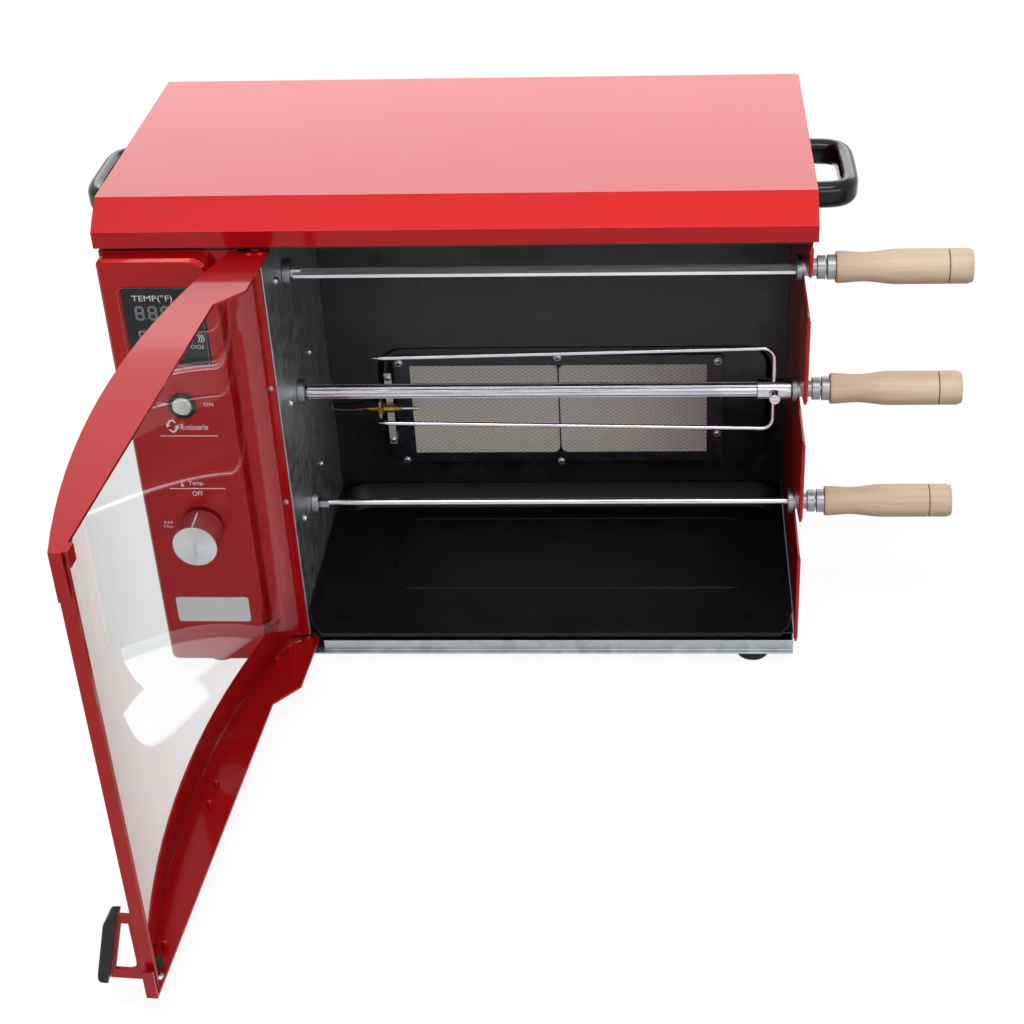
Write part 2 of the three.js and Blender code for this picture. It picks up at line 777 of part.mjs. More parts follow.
function makeRearCover() {
  const cover = box(
    [casingLeft, rearFace - sheet, baseTop + seat],
    [wallRight, rearFace, overallHeight - sheet - seat]);
  const vents = [];
  const rowWidth = (ventCount - 1) * ventPitch + ventWidth;
  const from = rearFace - sheet - overrun;
  const to = rearFace + overrun;
  for (let row = 0; row < ventRows; row += 1) {
    for (let column = 0; column < ventCount; column += 1) {
      const left = (hoodWidth - rowWidth) / 2 + column * ventPitch;
      const low = roofHeight - ventDrop + row * ventRowPitch;
      const vent = roundedRectangle(left, low, left + ventWidth, low + ventHeight, ventHeight / 2);
      vents.push(prism(vent, 'y', from, to, 1));
    }
  }
  const inlet = cylinder('y', [inletColumn, inletHeight], inletRadius + seat, from, to, 16);
  addPiece('rear_cover', cut(cover, [...vents, inlet]), 'redPaint');
}

// Four rubber feet, slightly tapered.
const footRadius = 12;
const footTaper = 2;
const footInset = 46;
const footSetback = 22;

function makeFeet() {
  const columns = [['left', footInset], ['right', hoodWidth - footInset]];
  const rows = [['front', footSetback], ['rear', hoodDepth - footSetback]];
  for (const [side, x] of columns) {
    for (const [end, y] of rows) {
      const foot = turned([
        [0, 0],
        [0, footRadius - footTaper],
        [footHeight - seat, footRadius],
        [footHeight - seat, 0],
      ], 0, 0, 20).rotate([0, -90, 0]).translate([x, y, 0]);
      addPiece(`foot_${end}_${side}`, foot, 'rubber');
    }
  }
}

// The carry handles are D shapes of oval section on both sides.
const gripReach = 44;
const gripSpan = 104;
const gripRearInset = 117;
const gripDrop = 16;
const gripTall = 24.5;
const gripThick = 17;
const gripBend = 17;

function makeCarryHandle() {
  const half = gripSpan / 2;
  const path = roundedPath([
    [0, -half, 0],
    [gripReach, -half, 0],
    [gripReach, half, 0],
    [0, half, 0],
  ], gripBend, 5);
  return sweep(path, gripTall / 2, gripThick / 2, zAxis, 12);
}

function makeCarryHandles() {
  const handle = makeCarryHandle();
  const height = roofHeight - gripDrop;
  const setback = hoodDepth - gripRearInset;
  const right = handle.translate([wallRight + seat, setback, height]);
  const left = handle.rotate([0, 0, 180]).translate([casingLeft - seat, setback, height]);
  addPiece('carry_handle_right', right, 'blackPlastic');
  addPiece('carry_handle_left', left, 'blackPlastic');
}

// The drip tray: a drafted pan with round rear corners, an open front with a folded lip,
// and a rounded bead pressed round its floor.
const traySide = 0.8;
const trayDraft = 9;
const trayCorner = 30;
const traySheet = 1.2;
const trayLip = 4;
const beadMarginX = 60;
const beadMarginY = 75;
const beadWidth = 4;
const beadHeight = 1;
const beadCorner = 18;

const trayLeft = controlWidth + traySide;
const trayRight = wallRightInner - 4 * traySide;

// The tray's side walls lean out by a third of their draft over their lower third, then less.
function trayLoft(inset, floor, top) {
  const front = -trayCorner - trayDraft - overrun;
  const shrink = trayDraft + inset;
  const lowThird = shrink / 3 + inset / 2;
  const loop = (side, corner) => roundedLoop(
    trayLeft + side, front + shrink, trayRight - side, trayDepth - side, corner);
  return loft([
    { points: loop(shrink, trayCorner - trayDraft), height: floor },
    { points: loop(lowThird, trayCorner - trayDraft / 3), height: floor + (top - floor) / 3 },
    { points: loop(inset, trayCorner), height: top },
  ]);
}

function makeTray() {
  const floor = floorHeight + seat;
  const top = floor + trayHeight;
  const left = trayLeft + trayDraft;
  const right = trayRight - trayDraft;
  const frontCut = box([0, -2 * trayCorner - trayDraft, 0], [hoodWidth, 0, overallHeight]);
  const inside = trayLoft(traySheet, floor + traySheet, top + overrun);
  const pan = cut(trayLoft(0, floor, top), [inside, frontCut]);
  const lip = box([left, 0, floor - trayLip + traySheet], [right, traySheet, floor + traySheet]);
  const loop = (inset) => roundedRectangle(
    left + beadMarginX + inset, beadMarginY + inset,
    right - beadMarginX / 2 - inset, trayDepth - beadMarginX / 2 - inset, beadCorner - inset);
  const beadTop = floor + traySheet + beadHeight;
  const beadOutside = prism(loop(0), 'z', floor + traySheet / 2, beadTop, 3);
  const bead = beadOutside.subtract(prism(loop(beadWidth), 'z', floor, beadTop + overrun, 3));
  const tray = union([pan, lip, bead]).translate([0, trayFrontInset, 0]);
  addPiece('drip_tray', tray, 'blackEnamel');
}

// The drive train: a gear motor, its pinion, and one gear and one socket for each skewer.
const gearTeeth = 40;
const pinionTeeth = 16;
const gearModule = skewerPitch / gearTeeth;
const gearRadius = (gearModule * gearTeeth) / 2;
const gearFace = 8;
const gearInset = 18.5;
const gearPlace = controlWidth - gearInset;
const pressureAngle = 20;
const addendumShare = 0.9;
const dedendumShare = 1.25;
const backlash = 0.5;
const gearFlankSteps = 1;
const pinionFlankSteps = 2;
const webHoles = 4;
const webRingShare = 0.58;
const webHoleShare = 0.2;
const motorShaftRadius = 4;

// Points of an involute gear, tooth by tooth: up one flank from the root to the tip, down the other.
function gearOutline(teeth, flankSteps) {
  const pitchRadius = (gearModule * teeth) / 2;
  const pressure = THREE.MathUtils.degToRad(pressureAngle);
  const baseRadius = pitchRadius * Math.cos(pressure);
  const rootRadius = pitchRadius - dedendumShare * gearModule;
  const tipRadius = pitchRadius + addendumShare * gearModule;
  const involute = (angle) => Math.tan(angle) - angle;
  const halfTooth = Math.PI / (2 * teeth) - backlash / (4 * pitchRadius) + involute(pressure);
  const flank = [];
  for (let i = 0; i <= flankSteps; i += 1) {
    const radius = rootRadius + ((tipRadius - rootRadius) * i) / flankSteps;
    flank.push([radius, halfTooth - involute(Math.acos(Math.min(1, baseRadius / radius)))]);
  }
  const points = [];
  for (let tooth = 0; tooth < teeth; tooth += 1) {
    const centre = (2 * Math.PI * tooth) / teeth;
    const put = (radius, turn) => points.push([radius * Math.cos(turn), radius * Math.sin(turn)]);
    flank.forEach(([radius, angle]) => put(radius, centre - angle));
    flank.slice().reverse().forEach(([radius, angle]) => put(radius, centre + angle));
  }
  return points;
}

// One gear about the X axis, phase in degrees, with its bore and round holes in its web.
function gearSolid(teeth, flankSteps, phase, boreRadius, holes) {
  const disc = prism(polygon(gearOutline(teeth, flankSteps)), 'x', 0, gearFace);
  const tools = [cylinder('x', [0, 0], boreRadius, -overrun, gearFace + overrun, 16)];
  const pitchRadius = (gearModule * teeth) / 2;
  const ring = pitchRadius * webRingShare;
  for (let i = 0; i < holes; i += 1) {
    const angle = (2 * Math.PI * i) / holes;
    const centre = [ring * Math.cos(angle), ring * Math.sin(angle)];
    const holeRadius = pitchRadius * webHoleShare;
    tools.push(cylinder('x', centre, holeRadius, -overrun, gearFace + overrun, 10));
  }
  return cut(disc, tools).rotate([phase, 0, 0]);
}

function makeGears() {
  const halfStep = 180 / gearTeeth;
  skewerHeights.forEach((height, row) => {
    const phase = row % 2 === 0 ? halfStep : 0;
    const gear = gearSolid(gearTeeth, gearFlankSteps, phase, socketShankRadius + seat, webHoles);
    const placed = gear.translate([gearPlace, skewerSetback, height]);
    addPiece(`drive_gear_${skewerNames[row]}`, placed, 'nylon');
  });
}

const gearDistance = (gearModule * (gearTeeth + pinionTeeth)) / 2;
const motorSetback = skewerSetback + gearDistance;
const motorHeight = lowSkewerHeight + skewerPitch;
const motorRadius = 32;
const motorLength = 46;
const motorPostRadius = 5;
const motorPostRing = 40;

function makePinion() {
  const halfStep = 180 / pinionTeeth;
  const pinion = gearSolid(pinionTeeth, pinionFlankSteps, halfStep, motorShaftRadius + seat, 0);
  addPiece('motor_pinion', pinion.translate([gearPlace, motorSetback, motorHeight]), 'steel');
}

function makeMotor() {
  const face = gearPlace - 2 * sheet;
  const centre = [motorSetback, motorHeight];
  const wallFace = controlWidth - lining - seat;
  const can = cylinder('x', centre, motorRadius, face - motorLength, face);
  const postSetback = motorSetback + motorPostRing;
  const plate = prism(roundedRectangle(
    motorSetback, motorHeight - motorRadius,
    postSetback + motorPostRadius, motorHeight + motorRadius,
    motorPostRadius), 'x', face - sheet, face);
  const shaftEnd = gearPlace + gearFace + sheet;
  const shaft = cylinder('x', centre, motorShaftRadius, face - sheet, shaftEnd, 12);
  const postRise = motorRadius - 2 * motorPostRadius;
  const posts = [-postRise, postRise].map((rise) => cylinder(
    'x', [postSetback, motorHeight + rise], motorPostRadius, face - sheet, wallFace, 10));
  addPiece('gear_motor', union([can, plate, shaft, ...posts]), 'steel');
}

// A drive socket: a shank through the wall, a flange, and a square hole for a skewer's tip.
const socketFlange = 6.5;
const socketRadius = 12;
const tipSize = 7;
const tipDepth = 8;
const tipPlay = 1.3;
const swingPlay = 2;

function makeSockets() {
  const wallFace = controlWidth + seat;
  const face = wallFace + socketFlange;
  const hole = tipSize / 2 + tipPlay;
  skewerHeights.forEach((height, row) => {
    const body = turned([
      [gearPlace - 2 * sheet, 0],
      [gearPlace - 2 * sheet, socketShankRadius],
      [wallFace, socketShankRadius],
      [wallFace, socketRadius],
      [face - sheet / 2, socketRadius],
      [face, socketRadius - sheet / 2],
      [face, 0],
    ], skewerSetback, height, 18);
    const square = box(
      [face - tipDepth - tipPlay, skewerSetback - hole, height - hole],
      [face + overrun, skewerSetback + hole, height + hole]);
    addPiece(`drive_socket_${skewerNames[row]}`, body.subtract(square), 'aluminium');
  });
}

// Skewer rods: a round rod low, a fluted rod in the middle, a V blade at the top.
// Each has a square tip in its socket and a round tang through its bush and handle.
const lowRodRadius = 3.4;
const fluteRadius = 7;
const fluteDepth = 1;
const fluteCount = 8;
const bladeWidth = 13;
const bladeRise = 4;
const bladeThickness = 3;
const discThickness = 4.6;
const discGap = 0.8;
const ferruleStart = 20;
const ferruleLength = 7.5;

const rodStart = controlWidth + seat + socketFlange + swingPlay;
const discRight = wallRightInner - discGap;
const rodEnd = discRight - discThickness - 2 * seat;
const handleStart = wallRight + ferruleStart + ferruleLength + seat;
const tangEnd = handleStart + tangInGrip;

function fluteShape() {
  const points = [];
  const steps = fluteCount * 4;
  for (let i = 0; i < steps; i += 1) {
    const radius = i % 4 === 0 ? fluteRadius - fluteDepth : fluteRadius;
    const angle = (2 * Math.PI * i) / steps;
    points.push([radius * Math.cos(angle), radius * Math.sin(angle)]);
  }
  return polygon(points);
}

function bladeShape() {
  const half = bladeWidth / 2;
  const low = -bladeRise / 2 - bladeThickness / 2;
  return polygon([
    [-half, low],
    [0, low + bladeRise],
    [half, low],
    [half, low + bladeThickness],
    [0, low + bladeRise + bladeThickness],
    [-half, low + bladeThickness],
  ]);
}

function rodSection(row) {
  if (row === 0) {
    const circle = new THREE.Shape();
    circle.absarc(0, 0, lowRodRadius, 0, 2 * Math.PI);
    return circle;
  }
  return row === 1 ? fluteShape() : bladeShape();
}

function makeRods() {
  const tipStart = controlWidth + seat + socketFlange - tipDepth;
  skewerHeights.forEach((height, row) => {
    const body = prism(rodSection(row), 'x', rodStart, rodEnd, 8);
    const half = tipSize / 2;
    const tip = box([tipStart, -half, -half], [rodStart + tipSize, half, half]);
    const tang = cylinder('x', [0, 0], tangRadius, rodEnd - tipSize, tangEnd, 12);
    const rod = union([body, tip, tang]).translate([0, skewerSetback, height]);
    addPiece(`skewer_rod_${skewerNames[row]}`, rod, 'steel');
  });
}

// The bush rests in the slot: a disc inside, a neck in the seat and a collar outside.
const discRadius = 12;
const neckEnd = 11;
const collarRadius = 10.8;
const collarLength = 7.5;
const ferruleRadius = 11.3;

function makeBushes() {
  const bore = tangRadius + seat;
  const collarStart = wallRight + neckEnd;
  skewerHeights.forEach((height, row) => {
    const bush = turned([
      [discRight - discThickness, bore],
      [discRight - discThickness, discRadius],
      [discRight, discRadius],
      [discRight, neckRadius],
      [collarStart, neckRadius],
      [collarStart, collarRadius],
      [collarStart + collarLength, collarRadius],
      [collarStart + collarLength, bore],
      [discRight - discThickness, bore],
    ], skewerSetback, height, 18);
    addPiece(`skewer_bush_${skewerNames[row]}`, bush, 'aluminium');
    const ferrule = turned([
      [wallRight + ferruleStart, bore],
      [wallRight + ferruleStart, ferruleRadius],
      [handleStart - seat, ferruleRadius],
      [handleStart - seat, bore],
      [wallRight + ferruleStart, bore],
    ], skewerSetback, height, 18);
    addPiece(`skewer_ferrule_${skewerNames[row]}`, ferrule, 'aluminium');
  });
}

// The turned wooden handles: a waist behind the ferrule, a full grip and a grooved end.
const gripStartRadius = 14.5;
const gripWaistRadius = 13.2;
const gripFullRadius = 16;
const grooveDepth = 1;
const handleLength = 122;
const gripTaperRadius = (gripStartRadius + gripWaistRadius) / 2;
const handleProfileShares = [0, 0.1, 0.22, 0.34, 0.46, 0.81, 0.823, 0.836, 0.97, 1];
const handleRadii = [
  gripStartRadius, gripTaperRadius, gripWaistRadius, gripTaperRadius, gripFullRadius,
  gripFullRadius, gripFullRadius - grooveDepth, gripFullRadius, gripFullRadius,
  gripFullRadius - grooveDepth,
];

function makeWoodHandles() {
  const bore = tangRadius + seat;
  const outside = handleProfileShares.map((share, i) => [
    handleStart + handleLength * share, handleRadii[i]]);
  skewerHeights.forEach((height, row) => {
    const handle = turned([
      [handleStart, bore],
      ...outside,
      [handleStart + handleLength, 0],
      [tangEnd + seat, 0],
      [tangEnd + seat, bore],
      [handleStart, bore],
    ], skewerSetback, height, 14);
    addPiece(`skewer_handle_${skewerNames[row]}`, handle, 'beech');
  });
}

// The fork slides on the fluted rod: a sleeve with two long prongs, and a clamping screw.
const sleeveLength = 32;
const sleeveRadius = 10;
const prongRadius = 2;
const prongLength = 376;
const prongBase = 43;
const prongTip = 35;
const prongBend = 12;
const screwRadius = 2.5;
const screwLength = 9;

function makeFork() {
  const height = skewerHeights[1];
  const centre = [skewerSetback, height];
  const sleeveRight = rodEnd - seat;
  const sleeveLeft = sleeveRight - sleeveLength;
  const stem = sleeveLeft + sleeveLength / 2;
  const tipX = stem - prongLength;
  const boreRadius = fluteRadius + seat;
  const tube = cylinder('x', centre, sleeveRadius, sleeveLeft, sleeveRight);
  const bore = cylinder('x', centre, boreRadius, sleeveLeft - overrun, sleeveRight + overrun);
  const prongs = [1, -1].map((side) => sweep(roundedPath([
    [stem, skewerSetback, height + side * (boreRadius + prongRadius / 2)],
    [stem, skewerSetback, height + side * prongBase],
    [tipX, skewerSetback, height + side * prongTip],
  ], prongBend, 4), prongRadius, prongRadius, yAxis, 8));
  const screwCentre = [stem, height];
  const screwHole = cylinder(
    'y', screwCentre, screwRadius, skewerSetback - 2 * sleeveRadius, skewerSetback, 12);
  addPiece('skewer_fork', cut(union([tube, ...prongs]), [bore, screwHole]), 'steel');
  const tip = skewerSetback - boreRadius;
  const shank = cylinder('y', screwCentre, screwRadius - seat, tip - screwLength, tip, 12);
  const headBack = tip - screwLength / 2;
  const headFront = tip - screwLength - 2 * screwRadius;
  const head = cylinder('y', screwCentre, screwRadius * 2, headFront, headBack, 16);
  addPiece('fork_screw', shank.add(head), 'steel');
}

// The door swings on two pins. It is modelled closed, in a group that turns about the pivot:
// local X runs along the door, local -Y is its front.
const door = new THREE.Group();
door.position.set(pivotX, pivotY, 0);
door.rotation.z = -THREE.MathUtils.degToRad(doorOpenAngle);

const hingeEnd = 3;
const hingeStart = 5;
const hingeDepth = 12;
const hingeLength = 77;
const notchRun = 27;
const innerDepth = 8.5;
const flangeSheet = 2;
const tabTop = 40;
const tabBottom = 28;
const pinRadius = 3;
const stileInset = 5.5;
const stileWidth = 10.5;
const lobeLength = 13;
const lobeReach = 4;
const lobeDrop = 13;
const stileEnd = doorReach - stileInset;
const stileStart = stileEnd - stileWidth;

// The bow is one arc through the hinge end and the tip.
function bowCircle() {
  const a = new THREE.Vector2(hingeStart, -hingeEndBow);
  const b = new THREE.Vector2(doorReach, -tipBow);
  const chord = b.clone().sub(a);
  const half = chord.length() / 2;
  const radius = (half * half + doorBow * doorBow) / (2 * doorBow);
  const middle = a.clone().add(b).multiplyScalar(0.5);
  const normal = new THREE.Vector2(-chord.y, chord.x).normalize();
  const centre = middle.addScaledVector(normal, radius - doorBow);
  return { centre, radius };
}

const bow = bowCircle();

// A point of the bow at a place along the door, moved inwards by an inset.
function bowPoint(along, inset = 0) {
  const radius = bow.radius - inset;
  const across = along - bow.centre.x;
  return [along, bow.centre.y - Math.sqrt(radius * radius - across * across)];
}

function bowPoints(from, to, inset, count) {
  const points = [];
  for (let i = 0; i <= count; i += 1) {
    points.push(bowPoint(from + ((to - from) * i) / count, inset));
  }
  return points;
}

const bowSteps = 18;
const stileSteps = 2;

function railShape() {
  return polygon([
    [-hingeEnd, hingeDepth],
    ...bowPoints(hingeStart, doorReach, 0, bowSteps),
    [doorReach, -innerDepth],
    [hingeLength + notchRun, -innerDepth],
    [hingeLength, hingeDepth],
  ]);
}

function bowBand(from, to, outer, inner, low, high, steps = bowSteps) {
  const outline = polygon([
    ...bowPoints(from, to, outer, steps),
    ...bowPoints(from, to, inner, steps).reverse(),
  ]);
  return prism(outline, 'z', low, high);
}

function endTab(low, high) {
  return prism(polygon([
    [doorReach - flangeSheet, -tipBow],
    [doorReach, -tipBow],
    [doorReach, -innerDepth],
    [doorReach - flangeSheet, -innerDepth],
  ]), 'z', low, high);
}

// A small lobe at the tip's inner side, with an edge that turns down.
function tipLobe() {
  const left = doorReach - lobeLength;
  const right = doorReach - flangeSheet - seat;
  const inner = lobeReach - innerDepth;
  const plate = box(
    [left, -innerDepth - overrun, railTopHeight - railPlate],
    [right, inner, railTopHeight]);
  const edge = box(
    [left, inner - flangeSheet, railTopHeight - lobeDrop],
    [right, inner, railTopHeight - railPlate / 2]);
  return plate.add(edge);
}

function makeDoorRails() {
  const pinHole = (low, high) => cylinder('z', [0, 0], pinRadius + runningGap, low, high, 16);
  const flangeEnd = stileStart - seat;
  const topLow = railTopHeight - railFlange;
  const topInside = railTopHeight - railPlate / 2;
  const topRail = union([
    prism(railShape(), 'z', railTopHeight - railPlate, railTopHeight),
    bowBand(hingeStart, flangeEnd, 0, flangeSheet, topLow, topInside),
    endTab(railTopHeight - tabTop, topInside),
    tipLobe(),
  ]);
  const topHole = pinHole(topLow, railTopHeight + overrun);
  addPiece('door_top_rail', topRail.subtract(topHole), 'redPaint', door);
  const bottomHigh = railBottomHeight + railFlange;
  const bottomInside = railBottomHeight + railPlate / 2;
  const bottomRail = union([
    prism(railShape(), 'z', railBottomHeight, railBottomHeight + railPlate),
    bowBand(hingeStart, flangeEnd, 0, flangeSheet, bottomInside, bottomHigh),
    endTab(bottomInside, railBottomHeight + tabBottom),
  ]);
  const bottomHole = pinHole(railBottomHeight - overrun, bottomHigh);
  addPiece('door_bottom_rail', bottomRail.subtract(bottomHole), 'redPaint', door);
}

const glassInset = 6;
const stileLow = railBottomHeight + railPlate + seat;
const stileHigh = railTopHeight - railPlate - seat;

function makeDoorGlass() {
  const outer = flangeSheet + seat;
  const left = hingeStart + glassInset;
  const right = stileStart + glassInset;
  const glass = bowBand(left, right, outer, outer + glassThickness, stileLow, stileHigh);
  addPiece('door_glass', glass, 'glass', door);
}

// The stile is a bar at the door's free end, grooved for the glass.
function makeDoorStile() {
  const thickness = glassThickness + 3 * flangeSheet;
  const bar = bowBand(stileStart, stileEnd, 0, thickness, stileLow, stileHigh, stileSteps);
  const groove = bowBand(
    stileStart - overrun, stileStart + glassInset + seat,
    flangeSheet, flangeSheet + glassThickness + 2 * seat,
    stileLow - overrun, stileHigh + overrun, stileSteps);
  addPiece('door_stile', bar.subtract(groove), 'redPaint', door);
}

// The pull handle: a red plate with two arms on the stile, and a black grip on its edge.
const pullRise = 8;
const pullTall = 69;
const pullInset = 14;
const pullPlate = 3;
const pullTopReach = 9.5;
const pullLowReach = 26.5;
const pullGrip = 9;
const pullGripWidth = 15;
const pullWeb = 3;
const pullArmTop = 9;
const pullArmLow = 10;
const pullLow = railBottomHeight + pullRise;
const pullHigh = pullLow + pullTall;
const pullPlace = doorReach - pullInset;

// A point at a height on the slanted line that the grip follows, in local (Y, Z).
function pullLine(height, offset) {
  const share = (height - pullLow) / (pullHigh - pullLow);
  const reach = pullLowReach + (pullTopReach - pullLowReach) * share;
  return [bowPoint(pullPlace)[1] - seat - reach - offset, height];
}

function pullOpening(root, low, high) {
  const opening = new THREE.Shape();
  const [innerY] = pullLine(low, -pullWeb);
  opening.moveTo(innerY, low);
  opening.lineTo(root - 3 * pullWeb, low);
  opening.quadraticCurveTo(root - pullWeb, low, root - pullWeb, low + 4 * pullWeb);
  opening.lineTo(root - pullWeb, high);
  opening.lineTo(...pullLine(high, -pullWeb));
  return opening;
}

function gripOutline() {
  const outer = seat + pullGrip;
  const half = seat + pullGrip / 2;
  const grip = new THREE.Shape();
  grip.moveTo(...pullLine(pullLow, seat));
  grip.lineTo(...pullLine(pullLow, half));
  grip.quadraticCurveTo(...pullLine(pullLow, outer), ...pullLine(pullLow + pullGrip, outer));
  grip.lineTo(...pullLine(pullHigh - pullGrip, outer));
  grip.quadraticCurveTo(...pullLine(pullHigh, outer), ...pullLine(pullHigh, half));
  grip.lineTo(...pullLine(pullHigh, seat));
  return grip;
}

function makeDoorHandle() {
  const root = bowPoint(pullPlace)[1] - seat;
  const low = pullLow + seat;
  const high = pullHigh - seat;
  const right = pullPlace + pullPlate;
  const outline = polygon([[root, low], [root, high], pullLine(high, 0), pullLine(low, 0)]);
  const opening = pullOpening(root, low + pullArmLow, high - pullArmTop);
  const plate = prism(outline, 'x', pullPlace, right);
  const bracket = plate.subtract(prism(opening, 'x', pullPlace - overrun, right + overrun));
  addPiece('door_handle_bracket', bracket, 'redPaint', door);
  const middle = pullPlace + pullPlate / 2;
  const half = pullGripWidth / 2;
  const grip = prism(gripOutline(), 'x', middle - half, middle + half);
  addPiece('door_grip', grip, 'blackPlastic', door);
}

// The pins that the door turns on: one hangs from the roof, one stands on the base.
const pinHead = 5;
const pinHeadThickness = 1.2;

function makeHingePins() {
  const centre = [pivotX, pivotY];
  const top = roofHeight - seat;
  const topShank = cylinder('z', centre, pinRadius, railTopHeight - railPlate - sheet, top, 16);
  const topHead = cylinder('z', centre, pinHead, top - pinHeadThickness, top, 16);
  addPiece('hinge_pin_top', topShank.add(topHead), 'steel');
  const foot = baseTop + seat;
  const lowShank = cylinder('z', centre, pinRadius, foot, railBottomHeight + railPlate + sheet, 16);
  const shoulder = cylinder('z', centre, pinHead, foot, railBottomHeight - seat, 16);
  addPiece('hinge_pin_bottom', lowShank.add(shoulder), 'steel');
}

// Gas pipes: from the inlet in the rear cover to the valve, and from the valve to the jet.
const pipeRadius = 4;
const inletStub = 18;

function makePipes() {
  const valveMiddle = casingFront + sheet + valveFront + valveLength / 2;
  const portReach = valveRadius + portLength + seat;
  const bend = 5 * pipeRadius;
  const supply = sweep(roundedPath([
    [inletColumn, rearFace, inletHeight],
    [inletColumn, rearFace - 2 * bend, inletHeight],
    [controlColumn, valveMiddle + 2 * bend, inletHeight],
    [controlColumn, valveMiddle, inletHeight],
    [controlColumn, valveMiddle, knobHeight - portReach],
  ], bend, 3), pipeRadius, pipeRadius, xAxis, 8);
  const inlet = cylinder(
    'y', [inletColumn, inletHeight], inletRadius, rearFace - inletStub, rearFace + inletStub, 16);
  addPiece('gas_inlet_pipe', supply.add(inlet), 'brass');
  const jet = plenumLeft - mixerLength + mixerRadius;
  const crossing = knobHeight + portReach + 2 * bend;
  const burnerSupply = sweep(roundedPath([
    [controlColumn, valveMiddle, knobHeight + portReach],
    [controlColumn, valveMiddle, crossing],
    [controlColumn, mixerSetback, crossing],
    [controlColumn, mixerSetback, mixerHeight],
    [jet, mixerSetback, mixerHeight],
  ], bend, 3), pipeRadius, pipeRadius, xAxis, 8);
  addPiece('burner_pipe', burnerSupply, 'brass');
}

makeHood();
makeCasing();
makePanel();
makeDisplay();
makeRocker();
makeRockerButton();
makeValve();
makeSpindle();
makeKnob();
makeLeftWall();
makeRightWall();
makeBackWall();
makeBurner();
makeTiles();
makeSensor();
makeSensorStrip();
makeRoof();
makeFloor();
makeBase();
makeRearCover();
makeFeet();
makeCarryHandles();
makeTray();
makeGears();
makePinion();
makeMotor();
makeSockets();
makeRods();
makeBushes();
makeWoodHandles();
makeFork();
makeDoorRails();
makeDoorGlass();
makeDoorStile();
makeDoorHandle();
makeHingePins();
makePipes();
grill.add(door);

// The origin is the middle of the footprint, on the table.
const footprint = new THREE.Box3().setFromObject(grill, true);
const middle = footprint.getCenter(new THREE.Vector3());
grill.position.set(-middle.x, -middle.y, -footprint.min.z);

export default grill;
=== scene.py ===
# %% [markdown]
# # A rotisserie grill, dressed in Blender
# The real grill is a box of folded steel sheet with a bowed glass door, three geared skewers, a
# ceramic burner and a sliding tray. Its shapes come from CAD and stay where they are. This lesson
# softens their edges, gives each one the finish of its real material, and draws the round and
# bent pieces again from finer curves. Then it adds what a CAD part leaves out: printed words,
# display digits, screws, rivets, a bare badge plate and the flame sensor's lead.

# %% Load the CAD parts as a fixed frame
import math

import bmesh
import bpy
import numpy as np
from mathutils import Matrix, Vector


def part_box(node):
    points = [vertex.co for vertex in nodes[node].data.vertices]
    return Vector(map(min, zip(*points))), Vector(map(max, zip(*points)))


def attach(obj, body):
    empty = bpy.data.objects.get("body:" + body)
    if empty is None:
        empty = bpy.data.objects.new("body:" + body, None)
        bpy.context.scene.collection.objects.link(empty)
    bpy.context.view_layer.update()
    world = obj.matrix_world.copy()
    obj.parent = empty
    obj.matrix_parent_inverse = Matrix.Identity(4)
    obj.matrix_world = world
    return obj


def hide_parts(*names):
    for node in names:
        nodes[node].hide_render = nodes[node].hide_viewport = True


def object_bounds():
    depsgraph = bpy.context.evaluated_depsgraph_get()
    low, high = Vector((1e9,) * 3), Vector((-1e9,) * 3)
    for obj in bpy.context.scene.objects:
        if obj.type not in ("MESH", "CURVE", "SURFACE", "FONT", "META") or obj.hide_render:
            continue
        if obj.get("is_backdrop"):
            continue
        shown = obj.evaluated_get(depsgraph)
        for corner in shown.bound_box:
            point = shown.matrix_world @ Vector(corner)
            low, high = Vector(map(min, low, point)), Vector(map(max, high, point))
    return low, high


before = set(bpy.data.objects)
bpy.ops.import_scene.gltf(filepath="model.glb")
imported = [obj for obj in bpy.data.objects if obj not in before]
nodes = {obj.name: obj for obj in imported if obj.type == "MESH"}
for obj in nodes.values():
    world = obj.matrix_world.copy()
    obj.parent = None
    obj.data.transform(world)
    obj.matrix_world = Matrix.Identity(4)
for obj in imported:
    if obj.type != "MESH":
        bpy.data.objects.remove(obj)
cad_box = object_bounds()
print(len(nodes), "CAD nodes, box", [round(v, 3) for v in (*cad_box[0], *cad_box[1])])

# %% [markdown]
# Sizes are easiest to read in millimetres from one corner of the real thing. The corner used
# here is the hood's front left corner, dropped straight down to the table. Two small functions
# go from those millimetres to the frame's metres and back.

# %% Millimetres from the hood's front left corner
MM = 0.001
hood_low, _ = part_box("hood")
CORNER = np.array([hood_low.x, hood_low.y, 0.0])


def metres(points):
    """Millimetres from the corner to the frame's metres: corner + points * 0.001."""
    return CORNER + np.asarray(points, float) * MM


def box_mm(name):
    """A CAD node's lowest and highest corners, in millimetres from the corner."""
    return ((np.array(end) - CORNER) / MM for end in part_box(name))


print("corner", CORNER.round(4))

# %% [markdown]
# The camera stands where the photograph was taken from: about 1.4 m in front of the hood and 1.1 m
# above the table, tipped down by 33 degrees. A long lens keeps the perspective mild. The shift
# moves the picture a little without turning the camera.

# %% Camera
PITCH, YAW, ROLL = np.radians([32.73, 2.82, -1.72])
LENS, SENSOR, SHIFT, FAR_END = 65.02, 36, (-0.0800, -0.0081), 30
STANDPOINT = [494.0, -1436.1, 1111.8]


